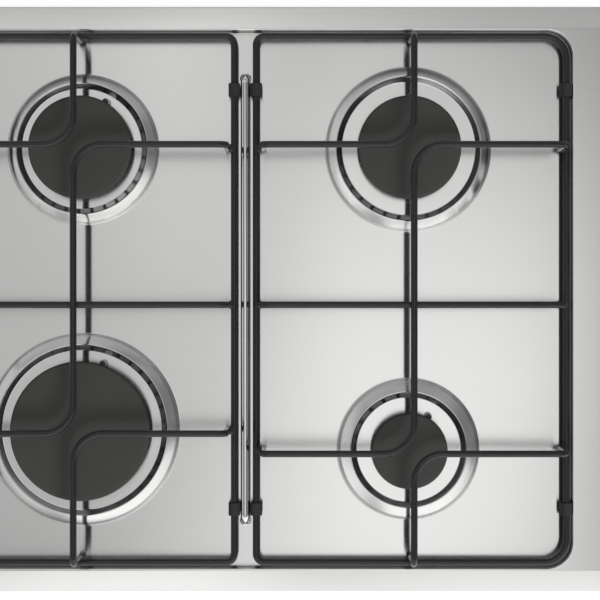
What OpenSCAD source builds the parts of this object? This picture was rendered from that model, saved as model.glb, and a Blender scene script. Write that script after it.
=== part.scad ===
// Four-burner built-in gas hob with two lift-off wire pan supports and a control column.
// Millimetres. X to the right, Y to the rear, Z up. The origin is the centre of the
// top in plan, on the worktop plane that the foam seal rests on.

/* [Top sheet] */
// Width of the stainless top, left to right
top_w = 590; // [584:1:610]
// Depth of the stainless top, front to back
top_d = 425; // [421:1:440]
// Corner radius of the top in plan
top_corner_r = 10; // [6:1:16]
// Thickness of the pressed steel
sheet_t = 0.8; // [0.6:0.1:1]
// Height of the flat deck over the worktop
deck_z = 9; // [8.5:0.5:10]
// Width of the sloping border strip round the deck
border_w = 17; // [16:0.5:18]
// How far the border strip falls from the deck to its edge
border_fall = 3; // [2:0.5:4]
// Height of the bottom of the skirt over the worktop
skirt_z = 0.4; // [0.2:0.1:0.8]

/* [Well] */
// Height of the well floor over the worktop
floor_z = 1.5; // [1.2:0.1:2]
// Corner radius of the well in plan
well_corner_r = 19.5; // [17:0.5:22]
// How far the well wall leans in from rim to floor
well_lean = 1.2; // [0.8:0.1:1.5]
// Width of the control column right of the well, border included
column_w = 98; // [94:1:102]

/* [Centre rod] */
// Diameter of the chromed rod
rod_d = 6.6; // [6:0.1:7]
// Overall length of the rod, over its bent ends
rod_l = 327.5; // [300:0.5:340]
// Height of the rod axis over the well floor
rod_h = 8.5; // [7:0.1:9.5]
// Centreline radius of the bend at each end
rod_bend_r = 5; // [5:0.5:8]
// Length of each rod leg under the sheet
rod_leg_l = 7; // [6:0.5:9]
// Across flats of the rod nuts
rod_nut_af = 11; // [10:0.5:13]
// Thickness of the rod nuts
rod_nut_h = 4; // [3:0.5:5]

/* [Pan supports] */
// Diameter of the frame wire
ring_wire_d = 5; // [4.6:0.1:5.4]
// Diameter of the finger wires
finger_wire_d = 4.8; // [4.4:0.1:5.2]
// Gap between the frame wire and the well edge
ring_gap = 3.1; // [2.8:0.1:3.6]
// Centreline of the inner frame wire from the rod axis
ring_inner_x = 7.9; // [7.9:0.1:8.4]
// Height of the frame wire axis over the well floor
ring_h = 8.5; // [8:0.1:9.5]
// Height of the finger axis over the well floor
finger_h = 37; // [36:0.5:39]
// Centreline radius of the outer frame corners
ring_outer_r = 16; // [12:1:18]
// Centreline radius of the inner frame corners
ring_inner_r = 6; // [5:0.5:8]
// Centreline radius of the arcs over the burners
finger_arc_r = 21; // [18:1:24]
// Centreline radius where a finger turns down to the frame
riser_bend_r = 5; // [4:0.5:6]
// Place of the cross bar, front to back
cross_bar_y = -3.9; // [-15:0.1:15]
// Drop of the cross bar axis under the finger axis
cross_bar_drop = 4.6; // [4.2:0.1:5]

/* [Rubber feet] */
// Distance of each foot from the middle of the well, front to back
foot_y = 151.3; // [140:0.1:156]
// Length of a foot along its wire
foot_l = 9.5; // [8:0.5:11]
// Width of a foot across its wire
foot_w = 8.4; // [8:0.1:8.6]
// Width of the stub that stands on the well floor
foot_stub_w = 6.6; // [5.5:0.1:7]
// Rubber over the top of the wire
foot_roof = 1.7; // [1.2:0.1:2.5]

/* [Burner places] */
// Burner centres left and right of the rod axis
burner_dx = 118.1; // [114:0.1:121]
// Rear burners behind the middle of the top
rear_y = 109; // [105:0.1:113]
// Rapid burner in front of the middle of the top
rapid_y = 94.5; // [92:0.1:99]
// Auxiliary burner in front of the middle of the top
auxiliary_y = 108.7; // [104:0.1:112]

/* [Burners] */
// Cap diameter of the rapid burner
rapid_cap_d = 100; // [98:1:104]
// Cap diameter of the semi-rapid burners
semi_cap_d = 74; // [72:1:77]
// Cap diameter of the auxiliary burner
auxiliary_cap_d = 54.5; // [53:0.5:58]
// Flame ports of the rapid burner
rapid_ports = 36; // [24:1:44]
// Flame ports of a semi-rapid burner
semi_ports = 28; // [20:1:34]
// Flame ports of the auxiliary burner
auxiliary_ports = 20; // [14:1:24]
// Width of a flame port
port_w = 2; // [1.5:0.1:2.4]
// Depth of a flame port
port_h = 4.6; // [3.5:0.1:5]
// Overhang of the cap beyond the flame spreader
cap_overhang = 3.5; // [3:0.1:4]
// Thickness of the cap at its middle
cap_t = 4.6; // [4:0.1:5]
// Height of the flame spreader above the cup
spreader_h = 7.6; // [7:0.1:8]
// Height of the cup rim over its seat in the sheet
cup_rim_h = 1.4; // [1.3:0.1:1.6]
// Cap radius less the radius of the burner hole
hole_inset = 12.5; // [12:0.5:13]
// Width of the cup flange under the sheet
cup_flange_w = 7; // [6.5:0.5:8]
// Wall of the cup and of the spreader skirt
cup_wall = 2.4; // [2:0.1:2.6]
// Length of the mixing tube under the spreader
mixer_l = 13; // [10:0.5:14]
// Radius of the mixing tube's bore
mixer_r = 4.6; // [4:0.1:5]

/* [Burner dishes] */
// Height of the burner seat over the well floor
seat_h = 6.5; // [6:0.1:7]
// Rise of the dish crest over the burner seat
crest_rise = 2.2; // [1:0.1:2.5]
// Width of the inner slope, from the seat to the crest
lip_w = 4.2; // [4:0.1:5.5]
// Seat diameter of the rapid burner
rapid_seat_d = 115.5; // [113:0.5:118]
// Outer diameter of the rapid burner's dish
rapid_dish_d = 139.4; // [134:0.1:140]
// Seat diameter of the rear left burner
rear_left_seat_d = 88; // [87.5:0.5:91]
// Outer diameter of the rear left burner's dish
rear_left_dish_d = 109; // [105:0.1:111]
// Seat diameter of the rear right burner
rear_right_seat_d = 96.5; // [92:0.5:99]
// Outer diameter of the rear right burner's dish
rear_right_dish_d = 119.2; // [117:0.1:124]
// Seat diameter of the auxiliary burner
auxiliary_seat_d = 75.6; // [72:0.1:80]
// Outer diameter of the auxiliary burner's dish
auxiliary_dish_d = 102; // [99:0.1:106]

/* [Ignition] */
// Radius of the spark electrode's ceramic
ceramic_r = 2.6; // [2.4:0.1:2.8]
// Distance of the electrode axis beyond the cap edge
electrode_out = 0.6; // [0.2:0.1:1]
// Height of the electrode head over the burner seat
electrode_h = 7.6; // [6.5:0.1:8]
// Length of the generator box, left to right
generator_l = 70; // [60:1:80]
// Width of the generator box, front to back
generator_w = 40; // [34:1:50]
// Height of the generator box
generator_h = 22; // [18:0.5:24]
// Diameter of the ignition leads
lead_d = 3; // [2.5:0.1:3.5]
// Height of the leads over the pan floor
lead_h = 7; // [6:0.5:10]

/* [Knobs] */
// Distance of the knob row from the right edge of the well
knob_row_x = 43; // [41:0.5:45]
// Spacing of the knobs, front to back
knob_pitch = 70; // [66:1:72]
// Diameter of the knob at its skirt
knob_d = 40; // [36:1:42]
// Height of the knob
knob_h = 21; // [18:0.5:24]
// Gap under the knob at rest
knob_gap = 4; // [3.8:0.1:5]
// Travel of the knob when it is pushed
push_travel = 3; // [2.5:0.1:3]
// Wall of the knob
knob_wall = 2.4; // [2:0.1:3]
// Diameter of the tap spindle
spindle_d = 8; // [7:0.1:8.4]
// Depth of the flat on the end of the spindle
spindle_flat = 1.6; // [1.2:0.1:2]
// Outer diameter of the knob's rubber seal
knob_seal_d = 22; // [20:0.5:26]

/* [Gas train] */
// Depth of the pipe and manifold axes under the worktop
gas_depth = 19; // [18:0.5:20]
// Outer diameter of the burner pipes
pipe_d = 8; // [7:0.1:8.4]
// Wall of the burner pipes
pipe_wall = 1; // [0.8:0.1:1.2]
// Centreline radius of the pipe bends
pipe_bend_r = 14; // [12:0.5:16]
// Outer diameter of the manifold tube
manifold_d = 16; // [14:0.5:17]
// Wall of the manifold tube
manifold_wall = 1.5; // [1.2:0.1:2]
// How far the manifold reaches into the corner recess
manifold_reach = 9; // [8.5:0.5:10]
// Size of the tap body, left to right
tap_w = 24; // [22:0.5:25]
// Size of the tap body, front to back
tap_d = 26; // [22:1:28]
// Height of the tap body
tap_h = 22; // [20:0.5:22.5]
// Outer diameter of the inlet thread, a half-inch parallel gas thread
inlet_d = 20.96; // [20.9:0.01:21]
// Length of the inlet thread under the elbow
inlet_l = 10; // [9:0.5:10.5]

/* [Base pan] */
// Rim of the top beyond the base pan, at the left and right
pan_rim_x = 20; // [19:0.5:21]
// Rim of the top beyond the base pan, at the front and rear
pan_rim_y = 22.5; // [20.5:0.5:24.5]
// Depth of the base pan under the worktop
pan_depth = 42; // [42:0.5:46]
// Size of the corner recess at the gas inlet, left to right
recess_w = 36; // [34:0.5:38]
// Size of the corner recess at the gas inlet, front to back
recess_d = 46; // [44:0.5:50]
// Width of a worktop clamp
clamp_w = 20; // [16:1:26]
// Reach of a worktop clamp beyond the pan
clamp_reach = 17; // [14:0.5:19]
// Diameter of the mains cord hole through the gland
cord_hole_d = 7.2; // [6.5:0.1:8]

/* [Fits] */
// Radial clearance of parts that slide or turn in each other
running_fit = 0.08; // [0.06:0.01:0.1]
// Radial clearance of fixed parts in their holes
fixed_fit = 0.1; // [0.05:0.05:0.2]

/* [Hidden] */
$fn = 48;

// A small overshoot that lets a cut pass cleanly through a face
eps = 0.5;

// Deck and well outline
deck_w = top_w - 2 * border_w;
deck_d = top_d - 2 * border_w;
well_left = -top_w / 2 + border_w;
well_right = top_w / 2 - column_w;
well_w = well_right - well_left;
well_d = deck_d;
well_x = (well_left + well_right) / 2;
edge_z = deck_z - border_fall;
edge_r = 1.5;
deck_corner_r = 2;
slice_h = 0.2;

// Rod
rod_z = floor_z + rod_h;
rod_leg_y = rod_l / 2 - rod_d / 2;
rod_collar_h = 1.2;
rod_collar_w = 0.8;
rod_collar_r = rod_d / 2 + rod_collar_w;
rod_washer_h = 1;
rod_washer_r = rod_nut_af / 2 + 1.5;

// Pan supports, each about its own centreline
ring_z = floor_z + ring_h;
finger_z = floor_z + finger_h;
ring_outer_x = well_w / 2 - ring_gap - ring_wire_d / 2;
ring_half_w = (ring_outer_x - ring_inner_x) / 2;
ring_half_d = well_d / 2 - ring_gap - ring_wire_d / 2;
support_dx = (ring_outer_x + ring_inner_x) / 2;
foot_play = 0.05;
LEFT = -1;
RIGHT = 1;

// Burners in the order of the knobs, from the rear one to the front one
REAR_LEFT = 0;
REAR_RIGHT = 1;
FRONT_RIGHT = 2;
FRONT_LEFT = 3;
BURNERS = [REAR_LEFT, REAR_RIGHT, FRONT_RIGHT, FRONT_LEFT];
burner_x = [well_x - burner_dx, well_x + burner_dx, well_x + burner_dx, well_x - burner_dx];
burner_y = [rear_y, rear_y, -auxiliary_y, -rapid_y];
cap_r = [semi_cap_d / 2, semi_cap_d / 2, auxiliary_cap_d / 2, rapid_cap_d / 2];
port_count = [semi_ports, semi_ports, auxiliary_ports, rapid_ports];
seat_r = [rear_left_seat_d / 2, rear_right_seat_d / 2, auxiliary_seat_d / 2, rapid_seat_d / 2];
dish_lap = 0.2;
// Share of the crest's rise reached halfway up the inner slope, which is slightly hollow
lip_hollow = 0.465;
// Knee of the outer slope, as shares of its width and of its height
knee_out = 0.78;
knee_up = 0.38;
dish_r = [rear_left_dish_d / 2, rear_right_dish_d / 2, auxiliary_dish_d / 2, rapid_dish_d / 2];
electrode_angle = [62, 87, 60, 72];
function spreader_r(b) = cap_r[b] - cap_overhang;
function hole_r(b) = cap_r[b] - hole_inset;
cup_play = 0.4;
function cup_r(b) = hole_r(b) - cup_play;
// Electrode centres, to a tenth of a millimetre
function to_tenth(v) = round(10 * v) / 10;
function electrode_x(b) =
    to_tenth(burner_x[b] + (cap_r[b] + electrode_out) * cos(electrode_angle[b]));
function electrode_y(b) =
    to_tenth(burner_y[b] + (cap_r[b] + electrode_out) * sin(electrode_angle[b]));

// Heights of the burner parts
seat_z = floor_z + seat_h;
cup_top_z = seat_z + cup_rim_h;
spreader_base_t = 2.4;
spreader_wall = 5;
spreader_play = 0.4;
mixer_wall = 1.6;
spreader_top_z = cup_top_z + spreader_h;
cup_flange_t = 3;
cup_flange_z = seat_z - sheet_t - cup_flange_t;
gas_z = -gas_depth;
cup_boss_l = 8;
cup_boss_r = 6.8;
cup_base_t = 1.2;
cup_bottom_z = gas_z - cup_boss_r - cup_base_t;
cup_floor_h = 6;
cup_floor_z = gas_z + cup_floor_h;
cup_lug_wall = 2.6;
cup_neck_step = 0.8;
cup_neck_t = 2;
gas_way_r = 2.4;
screw_head_h = 1.2;
screw_head_r = 2.8;
screw_r = 1.5;
function cup_screw_r(b) = hole_r(b) + cup_flange_w / 2;

// Injector, an M6 nozzle
injector_r = 3;
injector_hex_r = 4.5;
injector_thread_l = 5;
injector_head_h = 5;
injector_bore_r = 1.6;
injector_jet_r = 0.5;
injector_jet_l = 2;

// Electrode and its lead
pin_r = 1.1;
pin_head_r = 2.1;
pin_head_h = 2;
pin_tail_l = 4;
electrode_top_z = seat_z + electrode_h;
ceramic_top_z = electrode_top_z - pin_head_h;
ceramic_tail_l = 12;
ceramic_bottom_z = cup_flange_z - ceramic_tail_l;
ceramic_collar_r = ceramic_r + 1.4;
ceramic_collar_h = 2;
pin_bottom_z = ceramic_bottom_z - pin_tail_l;
lead_seat_l = 3;
lead_spigot_l = 5;
lead_bend_r = 6;

// Base pan
pan_w = top_w - 2 * pan_rim_x;
pan_d = top_d - 2 * pan_rim_y;
pan_z = -pan_depth;
pan_floor_z = pan_z + sheet_t;
pan_top_z = floor_z - sheet_t;
pan_step_gap = 2;
column_pan_x = well_right + pan_step_gap;
recess_headroom = 15;
recess_top_z = gas_z + recess_headroom;

// Knob column
knob_x = well_right + knob_row_x;
knob_y = [1.5 * knob_pitch, 0.5 * knob_pitch, -0.5 * knob_pitch, -1.5 * knob_pitch];
deck_under_z = deck_z - sheet_t;
knob_z = deck_z + knob_gap;
rail_t = 1.2;
rail_floor_z = -6;
rail_half_w = 18;
rail_flange_w = 12;
rail_end_l = 22;
rail_l = 3 * knob_pitch + 2 * rail_end_l;
rail_hole_gap = 2;
switch_hole_gap = 1.5;
switch_w = 20;
switch_d = 24;
switch_h = 4;
switch_top_z = rail_floor_z + rail_t + switch_h;
collar_h = 3;
collar_r = 8;
push_spare = 1;
collar_gap = 0.2;
collar_z = switch_top_z + push_travel + collar_gap;
spindle_shoulder_h = 1;
spindle_shoulder_w = 1.5;
spindle_shoulder_r = spindle_d / 2 + spindle_shoulder_w;
spindle_reach = 3;
spindle_bottom_z = gas_z - spindle_reach;
spindle_top_gap = 2;
spindle_top_z = knob_z + knob_h - knob_wall - spindle_top_gap;
spindle_round_l = 2;
spindle_r = spindle_d / 2;
deck_hole_gap = 2.5;
deck_hole_r = spindle_r + deck_hole_gap;
seal_bore_gap = 0.4;
seal_bore_r = spindle_r + seal_bore_gap;
knob_seal_t = 1.4;
seal_lip_l = 0.7;
knob_hub_wall = 3;
knob_hub_r = spindle_r + knob_hub_wall;
knob_hub_gap = 3.2;
knob_skirt_h = 3;
knob_step = 0.5;
knob_step_h = 1;
knob_groove_w = 2;
knob_groove_t = 0.6;
knob_groove_start = 0.35;
knob_draft = 2.5;
knob_edge_r = 1.5;

// Gas train
tap_top_z = rail_floor_z;
tap_ear_t = 3;
tap_ear_l = 42;
tap_ear_w = 10;
tap_way_r = 2;
tap_screw_y = 17;
tap_right_x = knob_x + tap_w / 2;
tap_left_x = knob_x - tap_w / 2;
tap_boss_l = 7;
tap_boss_r = 6.6;
tap_block_top_z = gas_z + tap_h / 2;
tap_nose_r = 9;
manifold_gap = 0.3;
manifold_x = tap_right_x + manifold_gap + manifold_d / 2;
manifold_front_l = 20;
manifold_front_y = -1.5 * knob_pitch - manifold_front_l;
manifold_end_t = 3;
manifold_rear_y = pan_d / 2 - recess_d + manifold_reach;
elbow_socket = 8;
nipple_r = 4;
nipple_l = 1;
pipe_r = pipe_d / 2;
nut_l = 6;
nut_r = 7.4;
// How far a pipe end reaches into its boss
pipe_seat = 6;
elbow_r = 11.5;
elbow_l = 12;
elbow_y = manifold_rear_y + elbow_l;
inlet_r = inlet_d / 2;
elbow_shoulder_l = 1;
elbow_bottom_z = gas_z - elbow_r - elbow_shoulder_l;
inlet_end_z = elbow_bottom_z - inlet_l;
elbow_bore_r = manifold_d / 2 - manifold_wall;
strap_t = 2;
strap_w = 10;

// Lanes that the two long pipes follow behind and in front of the right burners
rear_lane_gap = 24;
rear_lane_y = pan_d / 2 - rear_lane_gap;
front_lane_gap = 30;
front_lane_y = front_lane_gap - pan_d / 2;
lane_start_gap = 40;
lane_start_x = knob_x - lane_start_gap;
lane_end_gap = 26;
near_lane_gap = 30;

// Cord gland and terminal block at the rear left
gland_inset = 39;
gland_x = gland_inset - pan_w / 2;
gland_z = -24;
gland_wall = 3;
gland_r = cord_hole_d / 2 + gland_wall;
gland_flange_r = gland_r + 2;
gland_flange_t = 2;
terminal_l = 52;
terminal_w = 24;
terminal_h = 20;
terminal_gap = 16;
terminal_pitch = 15;
terminal_hole_r = 3.2;
terminal_hole_t = 6;

// Worktop clamps and case screws
clamp_inset = 75;
clamp_x = (pan_w / 2 - clamp_inset) * [-1, 1];
clamp_t = 1.5;
clamp_top_z = -20;
clamp_foot_z = -33;
clamp_lip_h = 3;
bracket_inset = 125;
bracket_x = (pan_w / 2 - bracket_inset) * [-1, 1];
bracket_w = 24;
bracket_h = 14;
bracket_t = 1.2;
case_screw_r = 2;
case_screw_head_r = 3.8;
case_screw_head_h = 1.8;
case_screw_l = 9;
case_screw_drop = 5;
cross_l = 4.6;
cross_w = 0.8;
cross_t = 0.9;

// Shared outlines and wires

// A rectangle with round corners, centred on the origin
module rounded_rect(w, d, r) {
    hull()
        for (x = [-1, 1])
            for (y = [-1, 1])
                translate([x * (w / 2 - r), y * (d / 2 - r)])
                    circle(r = r, $fn = 32);
}

// The four corner posts of a rounded rectangle, from height z up by h
module corner_posts(w, d, r, z, h) {
    for (x = [-1, 1])
        for (y = [-1, 1])
            translate([x * (w / 2 - r), y * (d / 2 - r), z])
                cylinder(r = r, h = h, $fn = 32);
}

function perpendicular(d) = abs(d.z) > 0.5 ? [1, 0, 0] : [0, 0, 1];
function frame_of(x, y, z, at) = [
    [x.x, y.x, z.x, at.x],
    [x.y, y.y, z.y, at.y],
    [x.z, y.z, z.z, at.z],
    [0, 0, 0, 1]
];
function direction(a, b) = (b - a) / norm(b - a);

// A round bar from a to b
module bar(a, b, r) {
    along = direction(a, b);
    side = perpendicular(along);
    multmatrix(frame_of(side, cross(along, side), along, a))
        cylinder(r = r, h = norm(b - a));
}

// A quarter bend of centreline radius bend_r at the corner p, from direction u to direction v
module quarter_bend(p, u, v, bend_r, r) {
    multmatrix(frame_of(-v, u, cross(-v, u), p + bend_r * (v - u)))
        rotate_extrude(angle = 90)
            translate([bend_r, 0])
                circle(r = r, $fn = 24);
}

// A round wire through the points, with a square corner rounded to its bend radius at each
// inner point
module wire(points, bend_r, r) {
    last = len(points) - 1;
    for (i = [0 : last - 1]) {
        along = direction(points[i], points[i + 1]);
        start = i == 0 ? points[i] : points[i] + along * bend_r[i - 1];
        end = i == last - 1 ? points[i + 1] : points[i + 1] - along * bend_r[i];
        bar(start, end, r);
    }
    for (i = [1 : last - 1])
        quarter_bend(
            points[i], direction(points[i - 1], points[i]), direction(points[i], points[i + 1]),
            bend_r[i - 1], r
        );
}

// A tube along the same kind of route, open at both ends
module tube(points, bend_r, r, wall) {
    radii = [for (i = [1 : len(points) - 2]) bend_r];
    difference() {
        wire(points, radii, r);
        wire(points, radii, r - wall);
    }
}

module ring(outer_r, inner_r, h) {
    difference() {
        cylinder(r = outer_r, h = h);
        translate([0, 0, -eps])
            cylinder(r = inner_r, h = h + 2 * eps);
    }
}

// Top sheet and well

// The outside of the pressed top, or its inside when it is taken in by the sheet
module top_envelope(inset) {
    w = top_w - 2 * inset;
    d = top_d - 2 * inset;
    r = top_corner_r - inset;
    hull() {
        corner_posts(deck_w, deck_d, deck_corner_r, deck_z - inset - slice_h, slice_h);
        corner_posts(w - edge_r, d - edge_r, r, edge_z - inset - slice_h, slice_h);
        corner_posts(w, d, r, -inset, edge_z - edge_r);
    }
}

// The hollow of the well, grown by the sheet for the outside of its walls
module well_pocket(grow, top_z) {
    w = well_w + 2 * grow;
    d = well_d + 2 * grow;
    r = well_corner_r + grow;
    translate([well_x, 0, 0])
        hull() {
            corner_posts(w, d, r, top_z - slice_h, slice_h);
            corner_posts(
                w - 2 * well_lean, d - 2 * well_lean, r - well_lean, floor_z - grow, slice_h
            );
        }
}

// Section of one burner dish, from the burner hole out to the well floor
module dish_section(b) {
    crest_r = seat_r[b] + lip_w;
    crest_z = seat_z + crest_rise;
    upper = [
        [hole_r(b), seat_z],
        [seat_r[b], seat_z],
        [seat_r[b] + lip_w / 2, seat_z + lip_hollow * crest_rise],
        [crest_r, crest_z],
        [crest_r + knee_out * (dish_r[b] - crest_r), floor_z + knee_up * (crest_z - floor_z)],
        [dish_r[b], floor_z]
    ];
    lower = [for (i = [len(upper) - 1 : -1 : 0]) upper[i] - [0, sheet_t]];
    polygon(concat(upper, lower));
}

module hob_top() {
    color([0.78, 0.78, 0.77])
        difference() {
            union() {
                difference() {
                    union() {
                        difference() {
                            top_envelope(0);
                            top_envelope(sheet_t);
                        }
                        well_pocket(sheet_t, deck_z - sheet_t / 2);
                    }
                    well_pocket(0, deck_z + eps);
                    translate([0, 0, skirt_z - top_w])
                        linear_extrude(top_w)
                            difference() {
                                square([2 * top_w, 2 * top_d], center = true);
                                square([deck_w + 2 * sheet_t, deck_d + 2 * sheet_t], center = true);
                            }
                    for (b = BURNERS)
                        translate([burner_x[b], burner_y[b], floor_z - sheet_t - eps])
                            cylinder(r = dish_r[b] - dish_lap, h = 2 * eps + sheet_t);
                }
                for (b = BURNERS)
                    translate([burner_x[b], burner_y[b], 0])
                        rotate_extrude($fn = 96)
                            dish_section(b);
            }
            for (b = BURNERS) {
                translate([electrode_x(b), electrode_y(b), seat_z - sheet_t - eps])
                    cylinder(r = ceramic_r + 3 * fixed_fit, h = sheet_t + 2 * eps);
                translate([burner_x[b], burner_y[b], seat_z - sheet_t - eps])
                    for (side = [0, 180])
                        rotate(side)
                            translate([0, cup_screw_r(b), 0])
                                cylinder(r = screw_r + 2 * fixed_fit, h = sheet_t + 2 * eps);
            }
            for (y = knob_y)
                translate([knob_x, y, deck_under_z - eps])
                    cylinder(r = deck_hole_r, h = sheet_t + 2 * eps);
            for (end = [-1, 1])
                translate([well_x, end * rod_leg_y, floor_z - sheet_t - eps])
                    cylinder(r = rod_d / 2 + fixed_fit, h = sheet_t + 2 * eps);
        }
}

// Foam strip under the border, cut to the slope of the sheet above it
module worktop_seal() {
    gap = 1;
    soft_gap = 0.05;
    color([0.12, 0.12, 0.12])
        intersection() {
            translate([0, 0, -soft_gap])
                top_envelope(sheet_t);
            linear_extrude(deck_z)
                difference() {
                    rounded_rect(
                        top_w - 2 * sheet_t - gap, top_d - 2 * sheet_t - gap, top_corner_r - sheet_t
                    );
                    square(
                        [deck_w + 2 * sheet_t + gap, deck_d + 2 * sheet_t + gap], center = true
                    );
                }
        }
}

// Base pan and fixings

module pan_recess(wall) {
    translate([
        pan_w / 2 - recess_w - wall, pan_d / 2 - recess_d - wall, pan_z - eps
    ])
        cube([recess_w + 2 * wall + eps, recess_d + 2 * wall + eps, recess_top_z - pan_z + eps + wall]);
}

module pan_block(inset) {
    for (part = [[-pan_w / 2, pan_top_z], [column_pan_x, deck_under_z]])
        translate([part[0] + (part[0] < 0 ? inset : -eps * inset), -pan_d / 2 + inset, pan_z + inset])
            cube([
                pan_w / 2 - part[0] - (part[0] < 0 ? 2 * inset : inset - eps * inset),
                pan_d - 2 * inset,
                part[1] - pan_z - inset + (inset > 0 ? eps : 0)
            ]);
}

module base_pan() {
    color([0.6, 0.62, 0.63])
        difference() {
            union() {
                difference() {
                    pan_block(0);
                    pan_block(sheet_t);
                }
                intersection() {
                    pan_block(0);
                    pan_recess(sheet_t);
                }
            }
            pan_recess(0);
            translate([manifold_x, pan_d / 2 - recess_d - 2 * sheet_t, gas_z])
                rotate([-90, 0, 0])
                    cylinder(r = manifold_d / 2 + 5 * fixed_fit, h = 3 * sheet_t);
            translate([gland_x, pan_d / 2 - 2 * sheet_t, gland_z])
                rotate([-90, 0, 0])
                    cylinder(r = gland_r + fixed_fit, h = 3 * sheet_t);
            for (side = [-1, 1])
                case_screw_places(side)
                    cylinder(r = case_screw_r + fixed_fit, h = 6 * sheet_t, center = true);
        }
}

// Each screw place on the front or rear wall, its axis pointing out of the pan
module case_screw_places(side) {
    for (x = clamp_x)
        translate([x, side * pan_d / 2, clamp_top_z - case_screw_drop])
            rotate([-side * 90, 0, 0])
                children();
    for (x = bracket_x)
        translate([x, side * pan_d / 2, pan_top_z - bracket_h / 2])
            rotate([-side * 90, 0, 0])
                children();
}

module base_brackets() {
    color([0.6, 0.62, 0.63])
        for (side = [-1, 1])
            for (x = bracket_x)
                translate([x, side * (pan_d / 2 - sheet_t), pan_top_z])
                    mirror([0, side > 0 ? 0 : 1, 0])
                        difference() {
                            union() {
                                translate([-bracket_w / 2, -bracket_t, -bracket_h])
                                    cube([bracket_w, bracket_t, bracket_h]);
                                translate([-bracket_w / 2, -bracket_h, -bracket_t])
                                    cube([bracket_w, bracket_h, bracket_t]);
                            }
                            translate([0, eps, -bracket_h / 2])
                                rotate([90, 0, 0])
                                    cylinder(r = case_screw_r + fixed_fit, h = bracket_t + 2 * eps);
                        }
}

module fixing_clamps() {
    color([0.6, 0.62, 0.63])
        for (side = [-1, 1])
            for (x = clamp_x)
                translate([x, side * pan_d / 2, 0])
                    mirror([0, side > 0 ? 0 : 1, 0])
                        difference() {
                            union() {
                                translate([-clamp_w / 2, 0, clamp_foot_z])
                                    cube([clamp_w, clamp_t, clamp_top_z - clamp_foot_z]);
                                translate([-clamp_w / 2, 0, clamp_foot_z])
                                    cube([clamp_w, clamp_reach, clamp_t]);
                                translate([-clamp_w / 2, clamp_reach - clamp_t, clamp_foot_z])
                                    cube([clamp_w, clamp_t, clamp_lip_h]);
                            }
                            translate([0, -eps, clamp_top_z - case_screw_drop])
                                rotate([-90, 0, 0])
                                    cylinder(r = case_screw_r + fixed_fit, h = clamp_t + 2 * eps);
                        }
}

module case_screw(under_head) {
    translate([0, 0, under_head - case_screw_l])
        cylinder(r = case_screw_r, h = case_screw_l);
    translate([0, 0, under_head])
        difference() {
            cylinder(r = case_screw_head_r, h = case_screw_head_h);
            for (turn = [0, 90])
                rotate(turn)
                    translate([-cross_l / 2, -cross_w / 2, case_screw_head_h - cross_t])
                        cube([cross_l, cross_w, cross_t + eps]);
        }
}

module case_screws() {
    color([0.7, 0.7, 0.68])
        for (side = [-1, 1]) {
            for (x = clamp_x)
                translate([x, side * pan_d / 2, clamp_top_z - case_screw_drop])
                    rotate([-side * 90, 0, 0])
                        case_screw(clamp_t);
            for (x = bracket_x)
                translate([x, side * pan_d / 2, pan_top_z - bracket_h / 2])
                    rotate([-side * 90, 0, 0])
                        case_screw(0);
        }
}

// Centre rod

module centre_rod() {
    leg_z = floor_z - sheet_t - rod_leg_l;
    color([0.85, 0.85, 0.86]) {
        wire(
            [
                [well_x, -rod_leg_y, leg_z],
                [well_x, -rod_leg_y, rod_z],
                [well_x, rod_leg_y, rod_z],
                [well_x, rod_leg_y, leg_z]
            ],
            [rod_bend_r, rod_bend_r], rod_d / 2
        );
        for (end = [-1, 1])
            translate([well_x, end * rod_leg_y, floor_z])
                cylinder(r = rod_collar_r, h = rod_collar_h);
    }
}

module rod_nuts() {
    under_z = floor_z - sheet_t;
    color([0.72, 0.72, 0.7])
        for (end = [-1, 1])
            translate([well_x, end * rod_leg_y, under_z - rod_washer_h - rod_nut_h])
                difference() {
                    union() {
                        cylinder(r = rod_nut_af / sqrt(3), h = rod_nut_h, $fn = 6);
                        translate([0, 0, rod_nut_h])
                            cylinder(r = rod_washer_r, h = rod_washer_h);
                    }
                    translate([0, 0, -eps])
                        cylinder(r = rod_d / 2 + fixed_fit, h = rod_nut_h + rod_washer_h + 2 * eps);
                }
}

// Burners, each about its own centre

module cup_pocket(b) {
    translate([0, 0, cup_floor_z])
        cylinder(r = cup_r(b) - cup_wall, h = cup_top_z - cup_floor_z + eps);
}

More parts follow.
